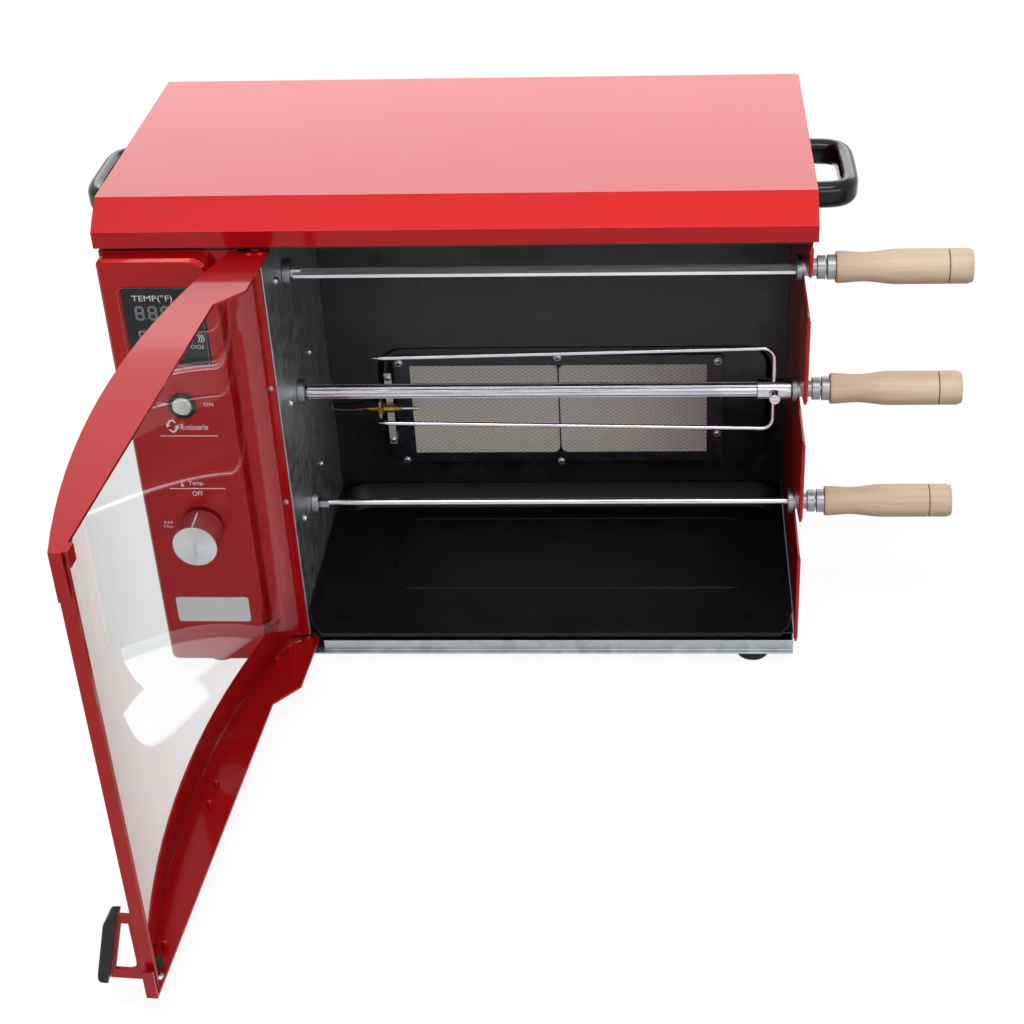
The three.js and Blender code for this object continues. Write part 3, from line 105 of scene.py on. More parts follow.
def camera_rotation(pitch, yaw, roll):
    """Roll times pitch times a level camera that looks along +Y, times yaw about Z, row by row."""
    cp, sp, cy, sy = np.cos(pitch), np.sin(pitch), np.cos(yaw), np.sin(yaw)
    cr, sr = np.cos(roll), np.sin(roll)
    level = np.array([[1, 0, 0], [0, 0, 1], [0, -1, 0]])
    turn = np.array([[cy, sy, 0], [-sy, cy, 0], [0, 0, 1]])
    tip = np.array([[1, 0, 0], [0, cp, -sp], [0, sp, cp]])
    tilt = np.array([[cr, sr, 0], [-sr, cr, 0], [0, 0, 1]])
    return tilt @ tip @ level @ turn


camera = bpy.data.objects.new("camera", bpy.data.cameras.new("camera"))
bpy.context.scene.collection.objects.link(camera)
bpy.context.scene.camera = camera
camera.data.sensor_width, camera.data.lens = SENSOR, LENS
camera.data.shift_x, camera.data.shift_y = SHIFT
camera.data.clip_end = FAR_END
turned_to = Matrix(camera_rotation(PITCH, YAW, ROLL).T.tolist()).to_4x4()
camera.matrix_world = Matrix.Translation(metres(STANDPOINT)) @ turned_to
print("camera at", [round(v, 3) for v in camera.location])

# %% [markdown]
# A material is a small graph. One function adds a node: the outputs that join its sockets, the
# plain values that fill them, and the node's own settings. The same function serves shader nodes
# and geometry nodes. Colours are written as sRGB hex, as a colour picker shows them, and turned
# to the linear values that light needs.

# %% One helper for every node, and one for colours


def linear(text):
    """sRGB hex to linear: c / 12.92 below 0.04045, else ((c + 0.055) / 1.055) ** 2.4."""
    c = np.array([int(text[i:i + 2], 16) for i in (1, 3, 5)]) / 255
    return (*np.where(c <= 0.04045, c / 12.92, ((c + 0.055) / 1.055) ** 2.4), 1.0)


def add(tree, kind, links=(), values=(), **fields):
    """Adds one node: links join outputs to its sockets, values fill them, fields are settings."""
    node = tree.nodes.new(kind)
    for key, value in fields.items():
        setattr(node, key, value)
    for key, value in dict(values).items():
        node.inputs[key].default_value = value
    for key, output in dict(links).items():
        tree.links.new(output, node.inputs[key])
    return node


print("linear mid red", [round(v, 3) for v in linear("#B3121A")])

# %% [markdown]
# ## Softening the CAD parts
# Folded sheet has no knife edges: paint and handling round them to about half a millimetre, and
# that thin round edge is what catches the light. A CAD part arrives as loose triangles with its
# own normals. Modifiers mend that without touching its mesh: the old normals are dropped and
# doubles merged, flat faces join into one, round faces are smoothed up to a fixed angle, and a
# small bevel rounds the rest. Two sheets inside keep their plain edges.

# %% Modifiers for the CAD parts
FLAT_WITHIN, SMOOTH_BELOW = math.radians(1), math.radians(32)
WELD_WITHIN, EDGE_ROUND, ROUND_STEPS = 0.01, 0.4, 2
LEFT_SHARP = ("back_wall", "cavity_roof")


def node_group(name):
    """An empty geometry group with one geometry in and one out, and its input node."""
    group = bpy.data.node_groups.new(name, "GeometryNodeTree")
    for way in ("INPUT", "OUTPUT"):
        group.interface.new_socket("Geometry", in_out=way, socket_type="NodeSocketGeometry")
    return group, add(group, "NodeGroupInput").outputs[0]


welded, flow = node_group("weld_and_forget_normals")
for attribute in ("custom_normal", "sharp_edge", "sharp_face"):
    flow = add(welded, "GeometryNodeRemoveAttribute", {"Geometry": flow},
               {"Name": attribute}).outputs[0]
flow = add(welded, "GeometryNodeMergeByDistance", {"Geometry": flow},
           {"Distance": WELD_WITHIN * MM}).outputs[0]
add(welded, "NodeGroupOutput", {0: flow})

smoothed, flow = node_group("smooth_below_angle")
fold = add(smoothed, "GeometryNodeInputMeshEdgeAngle").outputs["Unsigned Angle"]
steep = add(smoothed, "FunctionNodeCompare", {0: fold}, {1: SMOOTH_BELOW}, data_type="FLOAT",
            operation="GREATER_THAN").outputs[0]
flow = add(smoothed, "GeometryNodeSetShadeSmooth", {"Geometry": flow},
           {"Shade Smooth": True}).outputs[0]
flow = add(smoothed, "GeometryNodeSetShadeSmooth", {"Geometry": flow, "Selection": steep},
           {"Shade Smooth": False}, domain="EDGE").outputs[0]
add(smoothed, "NodeGroupOutput", {0: flow})


def soften(node, rounding):
    """Welds, joins flat faces, smooths below the angle, bevels the rest by a rounding in mm."""
    node.modifiers.new("weld", "NODES").node_group = welded
    join = node.modifiers.new("join_flat_faces", "DECIMATE")
    join.decimate_type, join.angle_limit = "DISSOLVE", FLAT_WITHIN
    node.modifiers.new("smooth", "NODES").node_group = smoothed
    if rounding:
        edge = node.modifiers.new("round_edges", "BEVEL")
        edge.width, edge.segments, edge.harden_normals = rounding * MM, ROUND_STEPS, True
        edge.limit_method, edge.angle_limit = "ANGLE", SMOOTH_BELOW


for name, node in nodes.items():
    soften(node, 0 if name in LEFT_SHARP else EDGE_ROUND)
print("softened", len(nodes), "nodes by", EDGE_ROUND, "mm")

# %% [markdown]
# ## The pattern of a finish
# Almost every finish here is one base colour with soft patches, a roughness that varies with
# them, and a shallow relief. The patches are noise whose scale is worked out from a real size in
# millimetres: the scale is one over the size in metres. Stretching the coordinates draws the
# patches out into grain or tool lines.

# %% Helpers for finishes
# most of the noise lies between these two, the From Min and From Max of a Map Range node
NOISE_SPAN = {1: 0.32, 2: 0.68}
UV_NAME = "surface"


def finish(name, colour, roughness, metallic=0.0, **values):
    """A Principled material with plain values set, and with it its tree and its shader."""
    made = bpy.data.materials.new(name)
    made.use_nodes = True
    shader = made.node_tree.nodes["Principled BSDF"]
    plain = {"Base Color": linear(colour), "Roughness": roughness, "Metallic": metallic}
    for key, value in (plain | {k.replace("_", " "): v for k, v in values.items()}).items():
        shader.inputs[key].default_value = value
    made.diffuse_color = linear(colour)
    return made, made.node_tree, shader


def place_on(tree, stretch=(1, 1, 1)):
    """Object coordinates times a stretch on each axis: below 1 draws a pattern out along it."""
    source = add(tree, "ShaderNodeTexCoord").outputs["Object"]
    return add(tree, "ShaderNodeMapping", {"Vector": source}, {"Scale": stretch}).outputs[0]


def mottle(tree, shader, size, dark, light, rough, stretch=(1, 1, 1), detail=3.0):
    """Noise patches of a size in mm, spread to 0..1, mix two colours and two roughnesses."""
    noise = add(tree, "ShaderNodeTexNoise", {"Vector": place_on(tree, stretch)},
                {"Scale": 1 / (size * MM), "Detail": detail}).outputs["Fac"]
    patch = add(tree, "ShaderNodeMapRange", {0: noise}, NOISE_SPAN).outputs[0]
    colour = add(tree, "ShaderNodeMix", {0: patch}, {6: linear(dark), 7: linear(light)},
                 data_type="RGBA")
    span = add(tree, "ShaderNodeMapRange", {0: patch}, {3: rough[0], 4: rough[1]})
    tree.links.new(colour.outputs[2], shader.inputs["Base Color"])
    tree.links.new(span.outputs[0], shader.inputs["Roughness"])
    return patch


def relief(tree, shader, height, depth, strength=0.5):
    """A bump of a depth in mm, from a pattern's output or from noise of a size given in mm."""
    if isinstance(height, (int, float)):
        height = add(tree, "ShaderNodeTexNoise", {"Vector": place_on(tree)},
                     {"Scale": 1 / (height * MM), "Detail": 2.0}).outputs["Fac"]
    bump = add(tree, "ShaderNodeBump", {"Height": height},
               {"Strength": strength, "Distance": depth * MM})
    tree.links.new(bump.outputs[0], shader.inputs["Normal"])


print("noise from", NOISE_SPAN[1], "to", NOISE_SPAN[2], "is spread to the full range")

# %% [markdown]
# ## Red powder coat
# The hood, door and panels are steel sheet, sprayed with red powder that holds fine metal flakes,
# under a clear gloss coat. The flakes make it bright where it mirrors a lamp and deep red where it
# doesn't, so the finish is partly metallic and rough, with a smooth coat over it. The coat keeps
# a faint ripple like orange peel, which only the reflections show.

# %% Red powder coat
red_coat, tree, shader = finish("metallic_powder_coat", "#A6070C", 0.42, 0.5,
                                Specular_IOR_Level=0.1, Coat_Weight=0.38, Coat_Roughness=0.06)
mottle(tree, shader, 70, "#A4060B", "#A8080D", (0.41, 0.43))
relief(tree, shader, 4.0, 0.01)
print(red_coat.name)

# %% [markdown]
# ## Galvanised steel
# The cavity's left wall and the base pan are zinc-dipped sheet. Zinc freezes in flat
# crystals, called spangle. Each one takes the light a little differently, so a Voronoi cell
# pattern changes both shade and roughness.

# %% Galvanised steel
SPANGLE = 9.0
galvanised, tree, shader = finish("galvanised_steel", "#A2A8AC", 0.42, 1.0)
cells = add(tree, "ShaderNodeTexVoronoi", {"Vector": place_on(tree)},
            {"Scale": 1 / (SPANGLE * MM)})
shade = add(tree, "ShaderNodeMix", {0: cells.outputs["Color"]},
            {6: linear("#989EA2"), 7: linear("#ADB4B8")}, data_type="RGBA")
gloss = add(tree, "ShaderNodeMapRange", {0: cells.outputs["Color"]}, {3: 0.36, 4: 0.48})
tree.links.new(shade.outputs[2], shader.inputs["Base Color"])
tree.links.new(gloss.outputs[0], shader.inputs["Roughness"])
print(galvanised.name, "spangle", SPANGLE, "mm")

# %% [markdown]
# ## Black enamels
# The back wall, roof and floor are coated with glass that is melted on to the steel: nearly black,
# glossy, and slightly wavy. The burner's frame has the same coat, fired bluer. The tray has a
# satin stove enamel, so its reflections are soft.

# %% Black enamels
enamel, tree, shader = finish("vitreous_enamel", "#141517", 0.2, Specular_IOR_Level=0.35)
mottle(tree, shader, 40, "#101113", "#191A1C", (0.16, 0.3))
relief(tree, shader, 14, 0.06)

blue_enamel, tree, shader = finish("fired_blue_enamel", "#191724", 0.25, Specular_IOR_Level=0.4)
mottle(tree, shader, 25, "#14121D", "#201D2C", (0.2, 0.34))
relief(tree, shader, 9, 0.05)

satin_enamel, tree, shader = finish("satin_stove_enamel", "#0E0E0F", 0.38, Specular_IOR_Level=0.2)
mottle(tree, shader, 30, "#0B0B0C", "#121213", (0.34, 0.44))
relief(tree, shader, 1.2, 0.012)
print(enamel.name, blue_enamel.name, satin_enamel.name)

# %% [markdown]
# ## Plastics, rubber and ink
# The carry handles and the door's grip are moulded phenolic: black, with the faint flow ripple of
# the mould. The switch's button is cream nylon, the display's window is tinted acrylic, the feet
# are matte rubber, and the gears are machined nylon. The words are screen-printed in ink that
# dries with a slight grain.

# %% Plastics, rubber and ink
phenolic, tree, shader = finish("moulded_phenolic", "#080809", 0.12, Specular_IOR_Level=0.25)
mottle(tree, shader, 20, "#060607", "#0C0C0E", (0.09, 0.17))
relief(tree, shader, 6, 0.02, 0.3)

cream, tree, shader = finish("moulded_nylon", "#E4E1D4", 0.35, Subsurface_Weight=0.05)
mottle(tree, shader, 5, "#DDD9CB", "#E8E5D9", (0.3, 0.42))
relief(tree, shader, 2, 0.01, 0.3)

acrylic, tree, shader = finish("tinted_acrylic", "#0D1114", 0.1, Specular_IOR_Level=0.3)
mottle(tree, shader, 50, "#0A0D10", "#11161A", (0.07, 0.13))

rubber, tree, shader = finish("moulded_rubber", "#1B1B1C", 0.85)
bloom = mottle(tree, shader, 2, "#161617", "#222223", (0.8, 0.95))
relief(tree, shader, bloom, 0.05, 1.0)

gear_nylon, tree, shader = finish("machined_nylon", "#E6E1D0", 0.45)
mottle(tree, shader, 8, "#DDD7C3", "#EAE6D8", (0.4, 0.55))

white_ink, tree, shader = finish("screen_print_ink", "#F0EEF0", 0.55)
mottle(tree, shader, 0.8, "#DCD9DC", "#F8F7F8", (0.5, 0.65))

grey_ink, tree, shader = finish("unlit_display_segment", "#74797E", 0.4)
mottle(tree, shader, 3, "#6A6F74", "#7E848A", (0.35, 0.45))
print(phenolic.name, cream.name, acrylic.name, rubber.name, gear_nylon.name, white_ink.name)

# %% [markdown]
# ## Drawn and turned metals
# The rods are drawn through a die, so their fine lines run along the rod. The top rod is ground
# as well, which makes it paler and duller. Bushes and sockets are turned, with rings from the
# tool, and brass and copper tarnish in patches. All of these are noise, drawn out along the lines
# by a stretch below one, which costs less than modelling each line.

# %% Drawn and turned metals
ALONG_THE_ROD, ROUND_THE_ROD = (0.02, 1, 1), (1, 0.05, 0.05)
stainless, tree, shader = finish("drawn_stainless_steel", "#C3C1C9", 0.2, 1.0)
drawn_lines = mottle(tree, shader, 0.8, "#ADAAB4", "#D3D1D8", (0.14, 0.28), ALONG_THE_ROD)
relief(tree, shader, drawn_lines, 0.01, 0.3)

satin_stainless, tree, shader = finish("ground_stainless_steel", "#D6D4DB", 0.48, 1.0)
mottle(tree, shader, 0.8, "#D2D0D7", "#EAE8EF", (0.5, 0.6), ALONG_THE_ROD)

aluminium, tree, shader = finish("turned_aluminium", "#8A8B8E", 0.4, 1.0)
tool_rings = mottle(tree, shader, 0.5, "#7C7D80", "#98999C", (0.34, 0.48), ROUND_THE_ROD)
relief(tree, shader, tool_rings, 0.01, 0.3)

brass, tree, shader = finish("turned_brass", "#A8843C", 0.32, 1.0)
mottle(tree, shader, 10, "#86682F", "#B9964A", (0.25, 0.45))

copper, tree, shader = finish("annealed_copper", "#9C5F45", 0.4, 1.0)
mottle(tree, shader, 6, "#7C4A38", "#B3775A", (0.3, 0.5))

plate_metal, tree, shader = finish("satin_anodised_aluminium", "#C9C7C9", 0.38, 0.7)
mottle(tree, shader, 0.4, "#C0BEC0", "#D2D0D2", (0.33, 0.45), (0.03, 1, 1))
print(stainless.name, satin_stainless.name, aluminium.name, brass.name, copper.name)

# %% [markdown]
# The knob's face is spun against an abrasive, which leaves rings so fine that they can't be seen
# one by one. They spread each highlight into two bright fans. Anisotropic shading does that: the
# UV map's first direction runs round the face, and the Tangent node hands it to the shader.

# %% Spun aluminium
RINGS = 140
spun, tree, shader = finish("spun_aluminium", "#D3D6DA", 0.42, 1.0, Anisotropic=0.92)
round_the_axis = add(tree, "ShaderNodeTangent", direction_type="UV_MAP", uv_map=UV_NAME)
tree.links.new(round_the_axis.outputs[0], shader.inputs["Tangent"])
where = add(tree, "ShaderNodeUVMap", uv_map=UV_NAME).outputs[0]
rings = add(tree, "ShaderNodeMapping", {"Vector": where}, {"Scale": (0, RINGS, 0)}).outputs[0]
ring = add(tree, "ShaderNodeTexNoise", {"Vector": rings}, {"Scale": 1.0, "Detail": 2.0})
tone = add(tree, "ShaderNodeMix", {0: ring.outputs["Fac"]},
           {6: linear("#C6C9CD"), 7: linear("#E0E3E6")}, data_type="RGBA")
tree.links.new(tone.outputs[2], shader.inputs["Base Color"])
relief(tree, shader, ring.outputs["Fac"], 0.01, 0.2)
print(spun.name, "with", RINGS, "rings to one unit of its UV map")

# %% [markdown]
# Screws are zinc-plated, with a cross pressed into the head. The cross could be cut with a
# boolean; here it is a dark shape in the finish instead, a painted shade that stands for the
# shadow inside the recess. The UV map looks straight at the head, so the cross is where one
# coordinate is small and the other is not yet outside it.

# %% Plated screws
CROSS_HALF, CROSS_REACH = 0.13, 0.58
plated, tree, shader = finish("zinc_plated_steel", "#B4B5B7", 0.3, 1.0)
mottle(tree, shader, 2, "#A2A3A6", "#C4C5C7", (0.24, 0.4))
where = add(tree, "ShaderNodeUVMap", uv_map=UV_NAME).outputs[0]
size = add(tree, "ShaderNodeVectorMath", {0: where}, operation="ABSOLUTE").outputs[0]
split = add(tree, "ShaderNodeSeparateXYZ", {0: size}).outputs
thin = add(tree, "ShaderNodeMath", {0: split[0], 1: split[1]}, operation="MINIMUM").outputs[0]
long = add(tree, "ShaderNodeMath", {0: split[0], 1: split[1]}, operation="MAXIMUM").outputs[0]
slot = add(tree, "ShaderNodeMath", {0: thin}, {1: CROSS_HALF}, operation="LESS_THAN")
reach = add(tree, "ShaderNodeMath", {0: long}, {1: CROSS_REACH}, operation="LESS_THAN")
cross = add(tree, "ShaderNodeMath", {0: slot.outputs[0], 1: reach.outputs[0]},
            operation="MULTIPLY").outputs[0]
bright = shader.inputs["Base Color"].links[0].from_socket
# the cross is painted dark: painted shade for the shadow inside the recess
painted_cross_shade = add(tree, "ShaderNodeMix", {0: cross, 6: bright}, {7: linear("#26262A")}, data_type="RGBA")
tree.links.new(painted_cross_shade.outputs[2], shader.inputs["Base Color"])
print(plated.name)

# %% [markdown]
# ## Beech
# The handles are turned from beech, so the grain runs along the handle. Beech is pale and
# pinkish, with a soft long grain and many short darker flecks, a few millimetres long. The groove
# near the end is burnt dark with a wire. The UV map's second number is the share of the handle's
# length, so the dark ring is where that share is within a hair of the groove's.

# %% Beech
GRAIN, FLECK, GROOVE, BURNT_HALF = 5, 1.6, 0.8235, 0.004
beech, tree, shader = finish("oiled_beech", "#D8C1A8", 0.55, Specular_IOR_Level=0.35)
grain = mottle(tree, shader, GRAIN, "#CBB295", "#DDC7AE", (0.5, 0.65), (0.06, 1, 1), 6.0)
flecks = add(tree, "ShaderNodeTexVoronoi", {"Vector": place_on(tree, (0.3, 1, 1))},
             {"Scale": 1 / (FLECK * MM)})
near = add(tree, "ShaderNodeMapRange", {0: flecks.outputs["Distance"]},
           {1: 0.1, 2: 0.3, 3: 0.32, 4: 0.0})
wood = shader.inputs["Base Color"].links[0].from_socket
fleck = add(tree, "ShaderNodeMix", {0: near.outputs[0], 6: wood}, {7: linear("#B8977A")},
            data_type="RGBA")
where = add(tree, "ShaderNodeUVMap", uv_map=UV_NAME).outputs[0]
share = add(tree, "ShaderNodeSeparateXYZ", {0: where}).outputs[1]
burnt = add(tree, "ShaderNodeMath", {0: share}, {1: GROOVE, 2: BURNT_HALF},
            operation="COMPARE").outputs[0]
marked = add(tree, "ShaderNodeMix", {0: burnt, 6: fleck.outputs[2]}, {7: linear("#7A5C43")},
             data_type="RGBA")
tree.links.new(marked.outputs[2], shader.inputs["Base Color"])
relief(tree, shader, grain, 0.05, 0.35)
print(beech.name, "groove at", GROOVE, "of the length")

# %% [markdown]
# ## Toughened glass
# The door's pane is a bent sheet of clear float glass, 4 mm thick. Iron in it tints it faintly
# green, most where it is seen on edge. A trace of wiped dust roughens it here and there. Float
# glass has an index of 1.5, and 1.28 is used because the camera looks along the pane, where the
# full index mirrors so much that the panel behind it is lost.

# %% Toughened glass
glass, tree, shader = finish("float_glass", "#FCFEFD", 0.0, IOR=1.28, Transmission_Weight=1.0)
mottle(tree, shader, 120, "#FAFDFC", "#FEFFFE", (0.0, 0.006))
print(glass.name)

# %% [markdown]
# ## Perforated ceramic
# Each burner tile is a pale ceramic slab, pierced by holes 1.2 mm wide in which the gas burns, and
# pressed with a lattice of shallow diamonds. The lattice is two families of slanting lines: a
# triangle wave of (x / width + z / height), and one of (x / width - z / height). The holes are the
# distance from the middle of a repeated square. They are too many to model one by one, and too
# fine to be seen into, so they are colour alone: a darker colour, painted shade that stands for
# the shadow inside each hole.

# %% Perforated ceramic
DIAMOND, HOLE_PITCH = (6.4, 4.6), 2.1
RIDGE_EDGE, HOLE_EDGE = {1: 0.03, 2: 0.16}, {1: 0.2, 2: 0.3}
ceramic, tree, shader = finish("perforated_ceramic", "#DDD2CB", 0.95, Specular_IOR_Level=0.2)
spot = add(tree, "ShaderNodeTexCoord").outputs["Object"]
wave = []
for lean in (1, -1):
    steps = (1 / (DIAMOND[0] * MM), 0, lean / (DIAMOND[1] * MM))
    along = add(tree, "ShaderNodeVectorMath", {0: spot}, {1: steps}, operation="DOT_PRODUCT")
    wave.append(add(tree, "ShaderNodeMath", {0: along.outputs["Value"]}, {1: 0.5},
                    operation="PINGPONG").outputs[0])
line = add(tree, "ShaderNodeMath", {0: wave[0], 1: wave[1]}, operation="MINIMUM").outputs[0]
ridge = add(tree, "ShaderNodeMapRange", {0: line}, RIDGE_EDGE).outputs[0]
holes_per_metre = 1 / (HOLE_PITCH * MM)
scaled = add(tree, "ShaderNodeVectorMath", {0: spot}, {1: (holes_per_metre, 0, holes_per_metre)},
             operation="MULTIPLY").outputs[0]
cell = add(tree, "ShaderNodeVectorMath", {0: scaled}, operation="FRACTION").outputs[0]
middle = add(tree, "ShaderNodeVectorMath", {0: cell}, {1: (0.5, 0, 0.5)}, operation="SUBTRACT")
away = add(tree, "ShaderNodeVectorMath", {0: middle.outputs[0]}, operation="LENGTH")
outside_painted_hole_shade = add(tree, "ShaderNodeMapRange", {0: away.outputs["Value"]}, HOLE_EDGE).outputs[0]
lattice = add(tree, "ShaderNodeMix", {0: ridge}, {6: linear("#FAF5F0"), 7: linear("#CDC3BC")},
              data_type="RGBA")
# inside each hole the colour is darker: painted shade for the shadow in the hole
pierced = add(tree, "ShaderNodeMix", {0: outside_painted_hole_shade, 7: lattice.outputs[2]}, {6: linear("#B8AEA7")},
              data_type="RGBA")
tree.links.new(pierced.outputs[2], shader.inputs["Base Color"])
relief(tree, shader, ridge, 0.3, 0.6)
print(ceramic.name, "diamonds", DIAMOND, "mm, holes every", HOLE_PITCH, "mm")

# %% [markdown]
# ## Dressing the CAD parts
# Every CAD node gets the material of what it is made of. The list goes by the start of the
# node's name, the longest start that fits counts, and a node that none fits stops the lesson.

# %% Dress the CAD parts
DRESS = {
    "hood": red_coat, "control_casing": red_coat, "control_panel": red_coat,
    "right_wall": red_coat, "rear_cover": red_coat, "door_top_rail": red_coat,
    "door_bottom_rail": red_coat, "door_stile": red_coat, "door_handle_bracket": red_coat,
    "door_grip": phenolic,
    "door_glass": glass, "display_module": acrylic, "rocker_bezel": phenolic,
    "rocker_button": cream, "gas_valve": brass, "valve_spindle": brass, "knob": aluminium,
    "cavity_left_wall": galvanised, "base_pan": galvanised, "cavity_roof": enamel,
    "back_wall": enamel, "cavity_floor": enamel, "drip_tray": satin_enamel,
    "burner_body": blue_enamel, "burner_tile": ceramic, "flame_sensor": brass,
    "sensor_strip": plate_metal, "foot": rubber, "carry_handle": phenolic,
    "hinge_pin": stainless, "hinge_pin_top": red_coat, "drive_gear": gear_nylon,
    "motor_pinion": stainless, "gear_motor": galvanised, "drive_socket": aluminium,
    "skewer_rod": stainless, "skewer_rod_top": satin_stainless, "skewer_bush": aluminium,
    "skewer_ferrule": aluminium, "skewer_handle": beech, "skewer_fork": stainless,
    "fork_screw": stainless, "gas_inlet_pipe": brass, "burner_pipe": brass,
}
for name, node in nodes.items():
    start = max((key for key in DRESS if name.startswith(key)), key=len)
    node.data.materials.clear()
    node.data.materials.append(DRESS[start])
print(len(nodes), "nodes dressed in", len(set(DRESS.values())), "materials")

# %% [markdown]
# ## Surfaces from numbers
# A new piece is a grid of points: a loop carried along a path, or a profile turned round an axis.
# Both are worked out as whole arrays. Where a row of the grid shrinks to one point, merging its
# doubles closes the pole, and the sign of the enclosed volume says whether the faces look out.

# %% From a grid of points to a mesh
DOUBLES_WITHIN = 0.001


def grid_faces(rows, columns, close_rows=False, close_columns=True):
    """Four corners of each square of a grid, counted row by row, joined round where it closes."""
    r = np.arange(rows if close_rows else rows - 1)
    c = np.arange(columns if close_columns else columns - 1)
    r, c = (a.ravel() for a in np.meshgrid(r, c, indexing="ij"))
    r2, c2 = (r + 1) % rows, (c + 1) % columns
    return np.stack([r * columns + c, r2 * columns + c, r2 * columns + c2, r * columns + c2], 1)


def gathered(shells):
    """Several (points, faces) shells as one: face numbers start after the points before them."""
    points = [np.reshape(points, (-1, 3)) for points, _ in shells]
    starts = np.cumsum([0] + [len(part) for part in points])
    faces = [np.add(face, start).tolist()
             for (_, shell), start in zip(shells, starts) for face in shell]
    return np.concatenate(points), faces


def piece(name, shells, stuff, body, facing=None, crisp=32, uv=None):
    """One mesh object from shells in mm. It rides on a body, and its faces are turned outwards."""
    points, faces = gathered(shells)
    mesh = bpy.data.meshes.new(name)
    mesh.from_pydata(metres(points).tolist(), [], faces)
    if uv is not None:
        corners = np.empty(len(mesh.loops), np.int32)
        mesh.loops.foreach_get("vertex_index", corners)
        layer = mesh.uv_layers.new(name=UV_NAME)
        layer.data.foreach_set("uv", np.reshape(uv, (-1, 2))[corners].ravel())
    work = bmesh.new()
    work.from_mesh(mesh)
    bmesh.ops.remove_doubles(work, verts=work.verts, dist=DOUBLES_WITHIN * MM)
    if facing is None:
        outwards = work.calc_volume(signed=True)
    else:
        outwards = sum(f.normal.dot(Vector(facing)) * f.calc_area() for f in work.faces)
    if outwards < 0:
        bmesh.ops.reverse_faces(work, faces=work.faces)
    work.to_mesh(mesh)
    work.free()
    mesh.polygons.foreach_set("use_smooth", [True] * len(mesh.polygons))
    mesh.set_sharp_from_angle(angle=math.radians(crisp))
    mesh.materials.append(stuff)
    made = bpy.data.objects.new(name, mesh)
    bpy.context.scene.collection.objects.link(made)
    if facing is None:
        made.modifiers.new("flat_faces_lead", "WEIGHTED_NORMAL").keep_sharp = True
    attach(made, body)
    return made


print("a 3 by 4 grid has", len(grid_faces(3, 4)), "faces")

# %% [markdown]
# Bars, sheets and wires are all one small loop carried along a path. Knobs, handles and screws are
# all one profile turned round an axis. Blender's own Screw and Curve tools could do both, but a
# few lines of numpy say exactly where each point goes, and leave a plain mesh.

# %% Loops, paths and turned profiles
X, Y, Z = np.eye(3)


def rounded_loop(width, height, radii, steps=7):
    """Quarter circles about (+-(width / 2 - radius), +-(height / 2 - radius)), as one loop."""
    quarter = np.repeat(np.arange(4), steps)
    angle = np.pi / 2 * (quarter + np.tile(np.linspace(0, 1, steps), 4))
    radius = np.broadcast_to(radii, 4)[quarter]
    side_x, side_y = np.array([1, -1, -1, 1])[quarter], np.array([1, 1, -1, -1])[quarter]
    return np.stack([side_x * (width / 2 - radius) + radius * np.cos(angle),
                     side_y * (height / 2 - radius) + radius * np.sin(angle)], 1)


def circle(radius, steps=16):
    """(radius cos a, radius sin a) for equal steps of the angle a."""
    angle = np.arange(steps) * 2 * np.pi / steps
    return radius * np.stack([np.cos(angle), np.sin(angle)], 1)


def carried(path, up, loop, sizes=1.0):
    """A loop carried along a path: path + size * (loop x * side + loop y * rise).

    The side is the path's direction crossed with up, and the rise is the side crossed with that
    direction. The size falls to nothing at both ends, which closes them with a point.
    """
    path = np.asarray(path, float)
    ahead = np.gradient(path, axis=0)
    side = np.cross(ahead, up)
    side /= np.linalg.norm(side, axis=1, keepdims=True)
    rise = np.cross(side, ahead)
    rise /= np.linalg.norm(rise, axis=1, keepdims=True)
    sizes = np.broadcast_to(sizes, len(path)).astype(float)
    path, side, rise = (np.concatenate([a[:1], a, a[-1:]]) for a in (path, side, rise))
    sizes = np.concatenate([[0], sizes, [0]])[:, None, None]
    across, upright = loop[None, :, :1] * side[:, None], loop[None, :, 1:] * rise[:, None]
    return path[:, None] + sizes * (across + upright), grid_faces(len(path), len(loop))


def turned(profile, centre, axis=X, start=Z, around=48):
    """A profile of (along, radius), turned: centre + along * axis + radius * (cos a, sin a)."""
    along, radius = np.asarray(profile, float).T[:, :, None, None]
    angle = (np.arange(around) * 2 * np.pi / around)[None, :, None]
    other = np.cross(axis, start)
    spoke = np.cos(angle) * start + np.sin(angle) * other
    return np.asarray(centre) + along * axis + radius * spoke, grid_faces(len(profile), around)


def eased(at, stations, values):
    """Values between stations on an S curve: f * f * (3 - 2 f) of the way from one to the next."""
    i = np.clip(np.searchsorted(stations, at, side="right") - 1, 0, len(stations) - 2)
    stations, values = np.asarray(stations, float), np.asarray(values, float)
    f = (at - stations[i]) / (stations[i + 1] - stations[i])
    return values[i] + (values[i + 1] - values[i]) * f * f * (3 - 2 * f)


print("a rounded loop has", len(rounded_loop(20, 10, 2)), "points")

# %% [markdown]
# ## The bowed pane
# The pane is bent to one large circle, so it starts as an arc in the door's own plan: along the
# door, and out from it. The door stands open by 94 degrees, so the arc is turned about the pivot.
# At the hinge the sheet curls in towards the pin: a quadratic curve through three points. A thin
# rounded loop, as tall as the pane, is carried along both.

# %% The bowed pane
PIVOT, OPEN = np.array([139.0, 5.0]), np.radians(-94)
CHORD_START, CHORD_END, RISE = np.array([5, -22.0]), np.array([463, -17.5]), 32.0


def door_plan(along, out, z):
    """The door's plan to the grill's: turned about the pivot by the open angle, at a height."""
    x = PIVOT[0] + along * np.cos(OPEN) - out * np.sin(OPEN)
    y = PIVOT[1] + along * np.sin(OPEN) + out * np.cos(OPEN)
    return np.stack(np.broadcast_arrays(x, y, z), -1)


